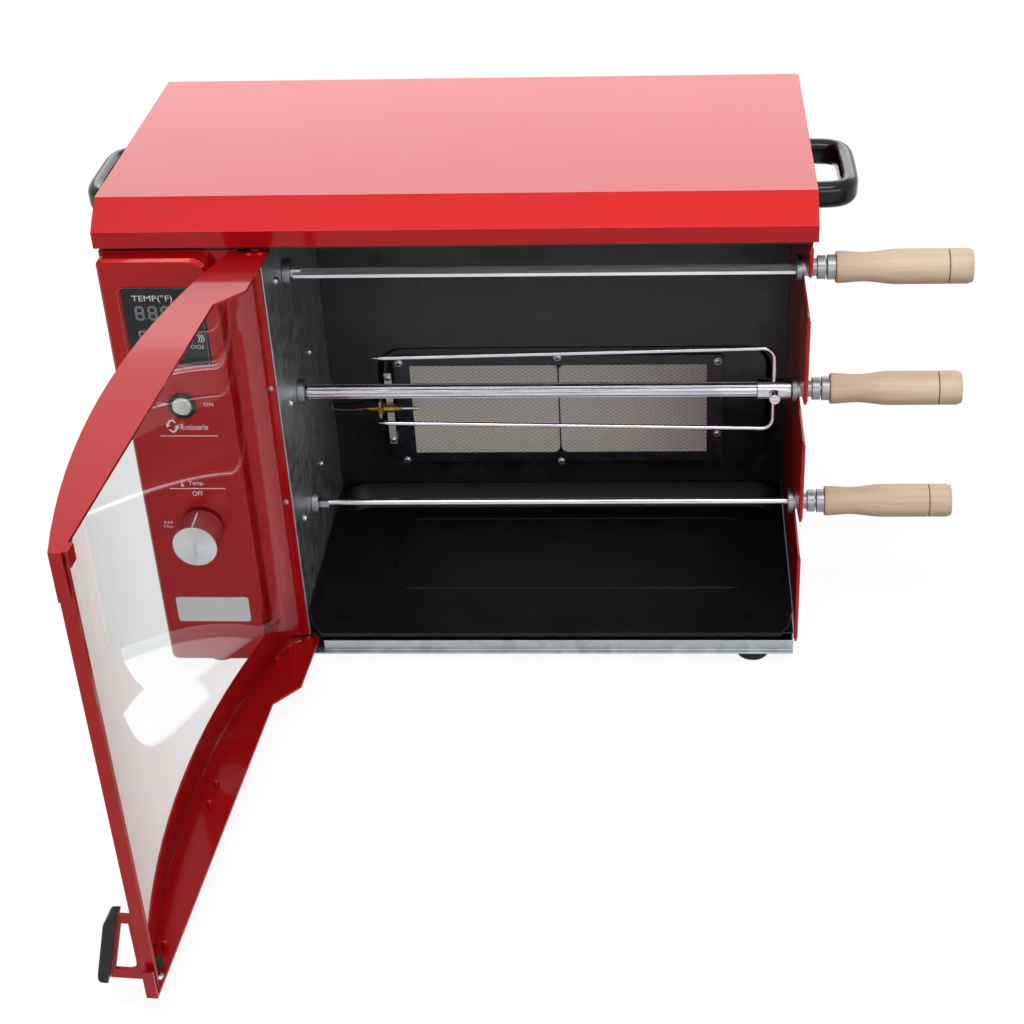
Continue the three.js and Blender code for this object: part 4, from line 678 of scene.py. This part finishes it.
def bow(along, inset):
    """The bow's arc, whose radius is (half chord squared + rise squared) / (2 * rise)."""
    chord = CHORD_END - CHORD_START
    half = np.linalg.norm(chord) / 2
    radius = (half ** 2 + RISE ** 2) / (2 * RISE)
    normal = np.array([-chord[1], chord[0]]) / (2 * half)
    middle = (CHORD_START + CHORD_END) / 2 + normal * (radius - RISE)
    return middle[1] - np.sqrt((radius - inset) ** 2 - (along - middle[0]) ** 2)


PANE_LOW, PANE_HIGH, PANE_THICK, PANE_INSET, PANE_EDGE = 31.8, 441.4, 4.0, 4.3, 0.9
FREE_EDGE, CURL_START = 453, 58
CURL_BEND, CURL_END = np.array([14, -21.3]), np.array([7.5, -5.0])
along = np.linspace(FREE_EDGE, CURL_START, 76)
sheet_line = np.stack([along, bow(along, PANE_INSET)], 1)
t = np.linspace(0, 1, 16)[1:, None]
curl = (1 - t) ** 2 * sheet_line[-1] + 2 * t * (1 - t) * CURL_BEND + t ** 2 * CURL_END
sheet_line = np.concatenate([sheet_line, curl])
pane_path = door_plan(sheet_line[:, 0], sheet_line[:, 1], (PANE_LOW + PANE_HIGH) / 2)
pane_loop = rounded_loop(PANE_THICK, PANE_HIGH - PANE_LOW, PANE_EDGE, 4)
pane = piece("bowed_pane", [carried(pane_path, Z, pane_loop)], glass, "door")
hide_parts("door_glass")
print("pane", [round(v, 3) for v in pane.dimensions])

# %% [markdown]
# ## Turned handles
# A wood turner works from a list of stations along the piece and a radius at each. The radius
# eases from one station to the next: in to a waist behind the ferrule, out to the full grip, a
# V groove near the end, and a rounded end.

# %% Wooden handles
SHARES = [0, 0.012, 0.2, 0.46, 0.816, GROOVE, 0.831, 0.965, 1.0]
RADII = [13.9, 14.5, 13.2, 16, 16, 15.1, 16, 16, 14.6]
HANDLE_SIDES = 48
for row in ("low", "middle", "top"):
    low, high = box_mm(f"skewer_handle_{row}")
    share = np.unique(np.concatenate([np.linspace(0, 1, 90), SHARES]))
    profile = np.stack([low[0] + share * (high[0] - low[0]), eased(share, SHARES, RADII)], 1)
    profile = np.concatenate([[[low[0], 0]], profile, [[high[0], 0]]])
    centre = [0, (low[1] + high[1]) / 2, (low[2] + high[2]) / 2]
    rows = np.concatenate([[0], share, [1]])[:, None]
    surface = np.stack(np.broadcast_arrays(np.arange(HANDLE_SIDES) / HANDLE_SIDES, rows), -1)
    handle = piece(f"turned_handle_{row}", [turned(profile, centre, around=HANDLE_SIDES)], beech,
                   f"skewer_{row}", uv=surface)
    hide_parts(f"skewer_handle_{row}")
print("handles", len(share), "stations each")

# %% [markdown]
# ## Carry handles
# Each carry handle is a flat oval bar bent into a D. A superellipse is a good D: reach times
# cos(t) ^ (2 / n), half span times sin(t) ^ (2 / n), with straight sides and round corners.

# %% Carry handles
BEND_POWER, BAR_THICK, BAR_ROUND = 2 / 5.0, 17, 8
for side, way in (("right", 1), ("left", -1)):
    low, high = box_mm(f"carry_handle_{side}")
    middle, tall = (low + high) / 2, high[2] - low[2]
    wall = low[0] if way > 0 else high[0]
    t = np.linspace(-1, 1, 97)
    # the power puts more points at both ends, where the D turns towards the wall
    t = np.pi / 2 * np.sign(t) * np.abs(t) ** 0.6
    reach, span = high[0] - low[0] - BAR_THICK / 2, (high[1] - low[1] - BAR_THICK) / 2
    out = wall + way * reach * np.cos(t).clip(0) ** BEND_POWER
    back = middle[1] + span * np.sign(t) * np.abs(np.sin(t)) ** BEND_POWER
    path = np.stack([out, back, np.full_like(t, middle[2])], 1)
    bar = carried(path, Z, rounded_loop(BAR_THICK, tall, BAR_ROUND))
    grip = piece(f"bent_grip_{side}", [bar], phenolic, "housing", crisp=60)
    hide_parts(f"carry_handle_{side}")
print("carry handles reach", round(reach, 1), "mm")

# %% [markdown]
# ## The knob
# The knob is turned from bar: a flat spun face, a bright chamfer, a straight side and a step at
# the skirt. Its UV map goes once round the axis and along the profile, so that the brushed
# finish follows the tool. A white line crosses the face and runs back along the side.

# %% The knob
LINE_HALF, LINE_LOOP, PROFILE_UNIT, KNOB_SIDES = 19.6, rounded_loop(1.5, 0.2, 0.08, 3), 60, 96
low, high = box_mm("knob")
x, front, rear, z = (low[0] + high[0]) / 2, low[1], high[1], (low[2] + high[2]) / 2
radius = (high[2] - low[2]) / 2
outline = np.array([
    [rear, 0], [rear, radius - 1.2], [rear - 6, radius - 1.2], [rear - 6.3, radius - 0.6],
    [rear - 6.9, radius - 0.2], [front + 0.9, radius], [front + 0.25, radius - 0.35],
    [front, radius - 1], *[[front, radius * f] for f in np.linspace(0.92, 0, 12)]])
shell = turned(outline, [x, 0, z], axis=Y, start=Z, around=KNOB_SIDES)
length = np.concatenate([[0], np.cumsum(np.linalg.norm(np.diff(outline, axis=0), axis=1))])
around = np.arange(KNOB_SIDES) / KNOB_SIDES
surface = np.stack(np.broadcast_arrays(around[None, :], length[:, None] / PROFILE_UNIT), -1)
knob = piece("spun_knob", [shell], spun, "knob", uv=surface)
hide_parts("knob")
face = front - 0.05
face_line = carried([[x, face, z - LINE_HALF], [x, face, z + LINE_HALF]], Y, LINE_LOOP)
side_line = carried([[x, front + 1, z + radius], [x, rear - 7, z + radius]], Z, LINE_LOOP)
piece("knob_pointer", [face_line, side_line], white_ink, "knob")
print("knob", round(2 * radius, 1), "mm across")

# %% [markdown]
# ## The fork
# A sleeve slides on the fluted rod. Two wires are welded to it: they leave it at right angles,
# bend, and run along the rod for 370 mm to ground points, a little closer to it at the tips. The
# bend is a quarter circle in the path, and the point is where the wire's size falls to nothing
# over its last 9 mm.

# %% The fork
low, high = box_mm("skewer_fork")
ROD_Y, ROD_Z = 86.0, 260.0
STEM, BORE, WIRE, BEND = 591.2, 7.5, 2.0, 11.0
TINE, CLOSING, POINT = 43, 8, 9
sleeve = [[575.2, BORE], [575.2, 9.4], [575.8, 10], [606.6, 10], [607.2, 9.4], [607.2, BORE],
          [575.2, BORE]]
shells = [turned(sleeve, [0, ROD_Y, ROD_Z])]
quarter = np.linspace(0, np.pi / 2, 12)
bent = np.stack([STEM - BEND + BEND * np.cos(quarter), TINE - BEND + BEND * np.sin(quarter)], 1)
level = np.linspace(STEM - BEND - 6, low[0], 40)
drop = np.stack([level, TINE - CLOSING * (STEM - level) / (STEM - low[0])], 1)
line = np.concatenate([[[STEM, 9], [STEM, 20]], bent, drop])
size = np.clip((line[:, 0] - low[0]) / POINT, 0.08, 1)
for way in (1, -1):
    path = np.stack([line[:, 0], np.full(len(line), ROD_Y), ROD_Z + way * line[:, 1]], 1)
    shells.append(carried(path, Y, circle(WIRE, 12), size))
fork = piece("welded_fork", shells, stainless, "fork", crisp=40)
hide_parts("skewer_fork")
print("fork", [round(v, 3) for v in fork.dimensions])

# %% [markdown]
# ## Burner tiles
# The two slabs meet in the middle and are rounded at their outer corners. Each is a rounded loop
# carried a few millimetres forwards, a little smaller at its front edge.

# %% Burner tiles
OUTER, INNER = 7, 0.6
CORNERS = {"left": (INNER, OUTER, OUTER, INNER), "right": (OUTER, INNER, INNER, OUTER)}
for side, radii in CORNERS.items():
    low, high = box_mm(f"burner_tile_{side}")
    x, z = (low[0] + high[0]) / 2, (low[2] + high[2]) / 2
    depths = [high[1], low[1] + 0.5, low[1] + 0.1, low[1]]
    loop = rounded_loop(high[0] - low[0], high[2] - low[2], radii)
    path = [[x, depth, z] for depth in depths]
    slab = carried(path, Z, loop, [1, 1, 0.998, 0.993])
    tile = piece(f"pierced_tile_{side}", [slab], ceramic, "housing", crisp=25)
    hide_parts(f"burner_tile_{side}")
print("tiles", round(high[0] - low[0], 1), "mm wide")

# %% [markdown]
# ## Feet
# A rubber foot is moulded as one turned shape: a wide sole with a rounded edge, and a narrower
# neck that presses into the base pan.

# %% Feet
SOLE = 16.0
for place in ("front_left", "front_right", "rear_left", "rear_right"):
    low, high = box_mm(f"foot_{place}")
    middle = (low + high) / 2
    profile = [[0, 0], [0, SOLE - 2.5], [0.7, SOLE - 0.8], [2.4, SOLE], [8, SOLE - 0.5],
               [9.5, SOLE - 2], [9.8, SOLE - 5], [high[2], SOLE - 5], [high[2], 0]]
    shell = turned(profile, [middle[0], middle[1], 0], Z, X, 40)
    made = piece(f"moulded_foot_{place}", [shell], rubber, "housing", crisp=40)
    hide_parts(f"foot_{place}")
print("feet", 2 * SOLE, "mm across")

# %% [markdown]
# ## Screws and rivets
# A pan-head screw shows only its domed head, so one short profile serves for all: a low straight
# rim of a quarter of the height, and above it a dome that rises by the root of one minus the
# radius squared. Some heads stand on a washer. A head is the same grid again at each place. Its
# UV map, from -1 to 1, is turned a little further on each head, as no two screws end up alike.

# %% Screws and rivets
HEAD_SIDES, HEAD_TWIST, RIM_SHARE, SUNK = 20, 0.3, 0.25, -0.2


def heads(name, places, axis, radius, height, stuff=None, body="housing",
          washer=0.0):
    """Domed heads along an axis: height * (rim share + (1 - rim share) * sqrt(1 - r * r))."""
    r = np.cos(np.linspace(0, np.pi / 2, 8))
    dome = height * np.sqrt(1 - r ** 2) * (1 - RIM_SHARE) + height * RIM_SHARE
    foot = [[SUNK, 0], [SUNK, radius]]
    if washer:
        foot = [[SUNK, 0], [SUNK, washer], [0.5, washer], [0.6, washer - 0.4]]
    profile = np.concatenate([foot, np.stack([dome, r * radius], 1)])
    start = Z if abs(axis[2]) < 0.5 else X
    shells = [turned(profile, place, axis, start, HEAD_SIDES) for place in places]
    twist = HEAD_TWIST * (np.arange(len(places)) + 1)[:, None]
    angle = np.arange(HEAD_SIDES) * 2 * np.pi / HEAD_SIDES + twist
    spokes = np.stack([np.cos(angle), np.sin(angle)], -1)[:, None]
    piece(name, shells, stuff or plated, body, crisp=50,
          uv=profile[None, :, None, 1:] / radius * spokes)


WALL_X = 142.5
wall_places = [(48, 394.7), (150.3, 268.5), (45.9, 270.4), (142.7, 145.8), (41.3, 146.3)]
heads("wall_screws", [[WALL_X, y, z] for y, z in wall_places], X, 3.4, 3.2, washer=4.4)
low, _ = box_mm("burner_body")
frame_places = [(213.4, 204.4), (378.2, 210), (213.6, 87.6), (378, 85.5), (543.2, 118.5),
                (543.2, 204.4)]
heads("burner_screws", [[x, low[1], z] for x, z in frame_places], -Y, 3.3, 2.0, washer=4.0)
low, high = box_mm("sensor_strip")
strip_x = (low[0] + high[0]) / 2
strip_places = [[strip_x, low[1], z] for z in (high[2] - 5, low[2] + 5)]
heads("strip_screws", strip_places, -Y, 3.2, 2.0, washer=3.7)
low, _ = box_mm("control_casing")
casing_places = [[136.2, low[1], z] for z in (309.5, 189)]
heads("casing_rivets", casing_places, -Y, 2.7, 1.6, aluminium)
print("screws on", WALL_X, "mm wall:", len(wall_places))

# %% [markdown]
# ## Flame sensor
# The sensor is a row of turned parts on one axis: a bare copper lead that comes out of the left
# wall and sags a little, a cone that grips it, a hexagon nut on a small bracket, a brass body and
# a steel tip in front of the burner. A hexagon is the same turned profile with six sides.

# %% Flame sensor
LEAD_LENGTH, LEAD_ASIDE, LEAD_BELOW, LEAD_SAG, LEAD_RADIUS = 44, 6, 3, 2, 1.0
low, high = box_mm("flame_sensor")
on_axis = [0, (low[1] + high[1]) / 2, (low[2] + high[2]) / 2 - 3]
f = np.linspace(0, 1, 30)
lead = np.stack([low[0] + LEAD_LENGTH * f, on_axis[1] + LEAD_ASIDE * (1 - f),
                 on_axis[2] - LEAD_BELOW * (1 - f) - LEAD_SAG * np.sin(np.pi * f)], 1)
piece("sensor_lead", [carried(lead, Y, circle(LEAD_RADIUS, 10))], copper, "housing")
cone = [[179, 0], [179, 1.5], [190, 3.9], [191.2, 3.9], [191.2, 0]]
nut = [[190.8, 0], [190.8, 6.2], [191.6, 7], [196.2, 7], [197, 6.2], [197, 0]]
barrel = [[196.5, 0], [196.5, 4], [197.3, 4.6], [208, 4.6], [208.6, 3.6], [214.6, 3.6],
          [215.2, 3], [215.2, 0]]
shells = [turned(profile, on_axis, around=sides)
          for profile, sides in ((cone, 24), (nut, 6), (barrel, 24))]
sensor = piece("sensor_body", shells, brass, "housing", crisp=25)
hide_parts("flame_sensor")
tip = [[215, 0], [215, 2.2], [high[0] - 2, 1.9], [high[0], 1.0], [high[0], 0]]
piece("sensor_tip", [turned(tip, on_axis, around=16)], stainless, "housing")
tab = carried([[192.4, *on_axis[1:]], [193.9, *on_axis[1:]]], Z, rounded_loop(11, 20, 1.5, 4))
piece("sensor_bracket", [tab], plate_metal, "housing")
print("lead", round(float(np.linalg.norm(np.diff(lead, axis=0), axis=1).sum()), 1), "mm")

# %% [markdown]
# ## Bare badge plate
# A thin satin plate with rounded corners sits low on the panel. It is left bare. It is a rounded
# loop carried forwards by its thickness, and a little smaller at the front, so that its rim
# catches a line of light.

# %% Bare badge plate
PLATE_LOOP, PLATE_X, PLATE_Z = rounded_loop(71.5, 28.4, 3.2), 53.05, 77.2
panel_low, _ = box_mm("control_panel")
FACE = panel_low[1]
plate_path = [[PLATE_X, FACE + depth, PLATE_Z] for depth in (0.0, -0.7, -0.9, -1.0)]
plate = carried(plate_path, Z, PLATE_LOOP, [1, 1, 0.995, 0.985])
piece("badge_plate", [plate], plate_metal, "housing")
print("panel face at", round(FACE, 2), "mm")

# %% [markdown]
# ## Printed words and signs
# Ink is a few hundredths of a millimetre thick, so each print is a flat mesh just proud of the
# panel. Letters start as a text curve, become a mesh, and are stretched to the box that the print
# fills. Signs are ribbons: a path with half its width added on either side.

# %% Letters, ribbons and rings in the panel's plane
INK = 0.06


def letters(words, left, right, low, high):
    """A text curve as points (x, z) and faces, stretched to fill left..right and low..high."""
    curve = bpy.data.curves.new(words, "FONT")
    curve.body, curve.resolution_u = words, 3
    holder = bpy.data.objects.new(words, curve)
    mesh = bpy.data.meshes.new_from_object(holder)
    points = np.empty(len(mesh.vertices) * 3)
    mesh.vertices.foreach_get("co", points)
    points = points.reshape(-1, 3)[:, :2]
    span = np.ptp(points, axis=0)
    points = (points - points.min(axis=0)) / span * [right - left, high - low] + [left, low]
    faces = [list(face.vertices) for face in mesh.polygons]
    bpy.data.objects.remove(holder)
    bpy.data.meshes.remove(mesh)
    bpy.data.curves.remove(curve)
    return points, faces


def ribbon(path, width):
    """A path with half the width added to its left and its right: path +- width / 2 * normal."""
    path = np.asarray(path, float)
    ahead = np.gradient(path, axis=0)
    normal = np.stack([-ahead[:, 1], ahead[:, 0]], 1)
    normal = normal / np.linalg.norm(ahead, axis=1, keepdims=True)
    sides = np.stack([path - normal * width / 2, path + normal * width / 2], 1)
    return sides.reshape(-1, 2), grid_faces(len(path), 2, close_columns=False)


def arc(centre, radius, start, end, steps=14):
    """Points on a circle from one angle to another, in degrees."""
    angle = np.radians(np.linspace(start, end, steps))
    return np.asarray(centre) + radius * np.stack([np.cos(angle), np.sin(angle)], 1)


def shape(*corners):
    """One flat face from its corners."""
    return np.array(corners, float), [list(range(len(corners)))]


def prints(name, flats, face, stuff):
    """Flat shapes of (x, z) points as one piece, just in front of a face."""
    shells = [(np.stack([p[:, 0], np.full(len(p), face - INK), p[:, 1]], 1), faces)
              for p, faces in flats]
    return piece(name, shells, stuff, "housing", facing=(0, -1, 0))


print("ink stands", INK, "mm proud")

# %% [markdown]
# The switch and the knob have plain words in white, two thin lines between them, and three signs:
# a pair of turning arrows, a thermometer and three rising points. Each word is one row with the
# left, right, low and high side of its box. The arrows are one stretched arc and its half turn.

# %% Words and signs on the panel
WORDS = [("OFF", 32.9, 41.4, 300.9, 304.3), ("ON", 75.5, 84.2, 300.6, 304.3),
         ("Rotisserie", 51.1, 76.1, 276.1, 282.1), ("Temp.", 49.5, 64, 216.2, 221.7),
         ("OFF", 51.6, 61.5, 205.6, 210.9), ("Max", 18.9, 27.7, 170.1, 173.7)]
words = [letters(*row) for row in WORDS]
sign, half_turn = np.array([43.5, 280.1]), arc((0, 0), 1, 215, 345) * [3.7, 5.9]
arrows = [ribbon(half_turn + sign, 1.7), ribbon(sign - half_turn, 1.7),
          shape((48.9, 281.6), (45.2, 279.4), (49.3, 276.6)),
          shape((38.1, 278.6), (41.8, 280.8), (37.7, 283.6))]
rising = [shape((x, 175.1), (x + 2.6, 175.1), (x + 1.3, 178.6)) for x in (19.3, 22.4, 25.5)]
thermometer = [ribbon([(43.2, 217.6), (43.2, 220.9)], 1.3),
               shape(*arc((43.2, 217.2), 1.5, 0, 345, 12))]
lines = [ribbon([(30.9, 269.8), (84.2, 269.8)], 0.8), ribbon([(30.8, 213.6), (83.4, 213.6)], 0.8)]
prints("panel_print", words + arrows + rising + thermometer + lines, FACE, white_ink)
print(len(words), "words printed")

# %% [markdown]
# The display is dark when the grill is off, yet its seven-segment digits still show as dull grey.
# Each segment is a long hexagon. Three lie flat and four stand up, so a digit is seven copies.
# A thin rim in the same grey runs round the window: a painted highlight for the light along its
# edge.

# %% The display's digits, words and painted rim highlight
display_low, display_high = box_mm("display_module")
GLASS_FACE = display_low[1]
SEGMENT = np.array([(-0.5, 0), (-0.38, 0.12), (0.38, 0.12), (0.5, 0), (0.38, -0.12),
                    (-0.38, -0.12)])
STROKE, ACROSS, SHRUNK = 1.2, 9, 0.96


def digit(left, right, low, high):
    """A figure eight of seven hexagons: flat ones at three heights, upright ones at both sides."""
    width, half = right - left - STROKE, (high - low - STROKE) / 2
    x, z = (left + right) / 2, (low + high) / 2
    flat = [(x, z + k * half) + SEGMENT * [width * SHRUNK, ACROSS] for k in (-1, 0, 1)]
    tall = [(x + i * width / 2, z + k * half / 2) + SEGMENT[:, ::-1] * [ACROSS, half * SHRUNK]
            for i in (-1, 1) for k in (-1, 1)]
    return [shape(*corners) for corners in flat + tall]


columns = [(31.2, 38.5), (42.6, 49.9), (54, 61.2)]
digits = [part for left, right in columns for low, high in ((387.4, 400.3), (365, 377))
          for part in digit(left, right, low, high)]
points = [shape(*arc((right + 1.8, 388.2), 0.6, 0, 330, 8)) for _, right in columns]
outer, inner = rounded_loop(70, 76, 5.2), rounded_loop(69.3, 75.3, 4.85)
middle = (display_low + display_high)[[0, 2]] / 2
# the rim is a painted highlight: the light caught along the window's edge
rim = (np.concatenate([outer, inner]) + middle, grid_faces(2, len(outer)))
prints("display_digits_and_painted_rim", [*digits, *points, rim], GLASS_FACE, grey_ink)
waves = [ribbon(arc((77.2 + 2.1 * k, 369.2), 4.4, -55, 55), 0.7) for k in range(3)]
headings = [letters("TEMP(°F)", 30, 65.2, 403.6, 411.2),
            letters("CYCLE", 72.8, 84.6, 359.3, 362.7)]
prints("display_print", [*headings, *waves], GLASS_FACE, white_ink)
print(len(digits), "segments")

# %% [markdown]
# ## Small things on the door
# A plated screw and a black catch magnet stand on the lower rail's tip. Five painted posts hold
# its two folds together, and two painted rivets close the upper rail at the hinge. All of them
# point straight up, and all ride on the door.

# %% Small things on the door
RAIL_SHEET = 2.5
_, top_high = box_mm("door_top_rail")
rail_low, _ = box_mm("door_bottom_rail")
INSIDE = rail_low[2] + RAIL_SHEET
rivet_places = [[x, y, top_high[2]] for x, y in ((134.5, -3.0), (144.0, -2.0))]
heads("pin_rivets", rivet_places, Z, 3.0, 1.6, red_coat, "door")
heads("tip_screw", [[94.6, -436.2, INSIDE]], Z, 4.2, 2.6, body="door")
post = [[0, 0], [0, 2.4], [7.5, 2.2], [8.6, 1.4], [9, 0]]
post_places = [(117.6, -39.3), (126, -20.4), (95, -216), (94.5, -242), (92.8, -405.9)]
posts = [turned(post, [x, y, INSIDE], Z, X, 14) for x, y in post_places]
piece("painted_posts", posts, red_coat, "door")
catch = turned([[0, 0], [0, 4.4], [5.4, 4.4], [6, 3.8], [6, 0]], [91.5, -424.0, INSIDE], Z, X, 24)
piece("catch_magnet", [catch], rubber, "door")
print("upper rail's top", round(top_high[2], 1), "mm, lower rail's inside", round(INSIDE, 1), "mm")

# %% [markdown]
# ## Floor and light
# The floor is one large pale sheet of studio paper. What the camera, a reflection or the glass
# sees of it is lifted to white by a little emission. It adds no light to the grill, because
# diffuse rays see only the paper, and the grill's shadow stays on it.

# %% Floor
PAPER_GLOW, FLOOR_HALF, FLOOR_LINES = 0.9, 9, 13


def background_seen(tree):
    """One for rays from the camera, from gloss or through glass, zero for those that light."""
    ray = add(tree, "ShaderNodeLightPath").outputs
    seen = add(tree, "ShaderNodeMath", {0: ray["Is Camera Ray"], 1: ray["Is Glossy Ray"]},
               operation="MAXIMUM")
    return add(tree, "ShaderNodeMath", {0: seen.outputs[0], 1: ray["Is Transmission Ray"]},
               operation="MAXIMUM").outputs[0]


paper, tree, shader = finish("matte_studio_paper", "#6A6A6A", 0.95, Specular_IOR_Level=0.0)
shader.inputs["Emission Color"].default_value = linear("#FFFFFF")
glow = add(tree, "ShaderNodeMath", {0: background_seen(tree)}, {1: PAPER_GLOW},
           operation="MULTIPLY")
tree.links.new(glow.outputs[0], shader.inputs["Emission Strength"])
spread = np.linspace(-FLOOR_HALF, FLOOR_HALF, FLOOR_LINES)
fx, fy = np.meshgrid(spread, spread, indexing="ij")
sheet = bpy.data.meshes.new("floor")
sheet.from_pydata(np.stack([fx, fy, 0 * fx], -1).reshape(-1, 3).tolist(), [],
                  grid_faces(FLOOR_LINES, FLOOR_LINES, close_columns=False).tolist())
sheet.materials.append(paper)
floor = bpy.data.objects.new("floor", sheet)
bpy.context.scene.collection.objects.link(floor)
floor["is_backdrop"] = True
print("floor", floor.dimensions[:])

# %% [markdown]
# Four large soft lamps light the grill: a wide one above, a strip that draws the bright line along
# the hood's bevel, one low on the right for the panel and the cavity, and one behind for the
# rims. The world fills the shadows evenly, and is white only where it is seen.

# %% Lamps and world
ROOM_LIGHT, ROOM_SEEN = 0.2, 1.0


def softbox(name, place, target, width, height, watts):
    """A rectangular lamp at a place in metres, turned to face a target."""
    lamp = bpy.data.lights.new(name, "AREA")
    lamp.shape, lamp.size, lamp.size_y, lamp.energy = "RECTANGLE", width, height, watts
    made = bpy.data.objects.new(name, lamp)
    bpy.context.scene.collection.objects.link(made)
    made.location = place
    made.rotation_euler = (Vector(target) - Vector(place)).to_track_quat("-Z", "Y").to_euler()


softbox("top_softbox", (0.0, 0.1, 2.4), (0, 0, 0.2), 2.4, 2.0, 8)
softbox("strip_softbox", (0.0, -0.85, 2.35), (0, 0, 0.45), 2.0, 0.7, 33)
softbox("right_softbox", (1.1, -1.8, 0.9), (0, 0.1, 0.25), 1.4, 1.0, 18)
softbox("back_softbox", (0.1, 2.6, 1.4), (0, 0, 0.45), 3.4, 0.9, 25)
world = bpy.data.worlds.new("studio_room")
bpy.context.scene.world = world
world.use_nodes = True
room = world.node_tree
level = add(room, "ShaderNodeMapRange", {0: background_seen(room)}, {3: ROOM_LIGHT, 4: ROOM_SEEN})
room.links.new(level.outputs[0], room.nodes["Background"].inputs["Strength"])
room.nodes["Background"].inputs["Color"].default_value = (1, 1, 1, 1)
bpy.context.scene.view_settings.view_transform = "Standard"
print("four lamps and a pale room")

# %% [markdown]
# The last step puts how large the grill is as CAD and as dressed, in metres, side by side in one
# table, so that the two can be compared.

# %% Gather the sizes
size = {"cad": [list(v) for v in cad_box], "visual": [list(v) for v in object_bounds()]}
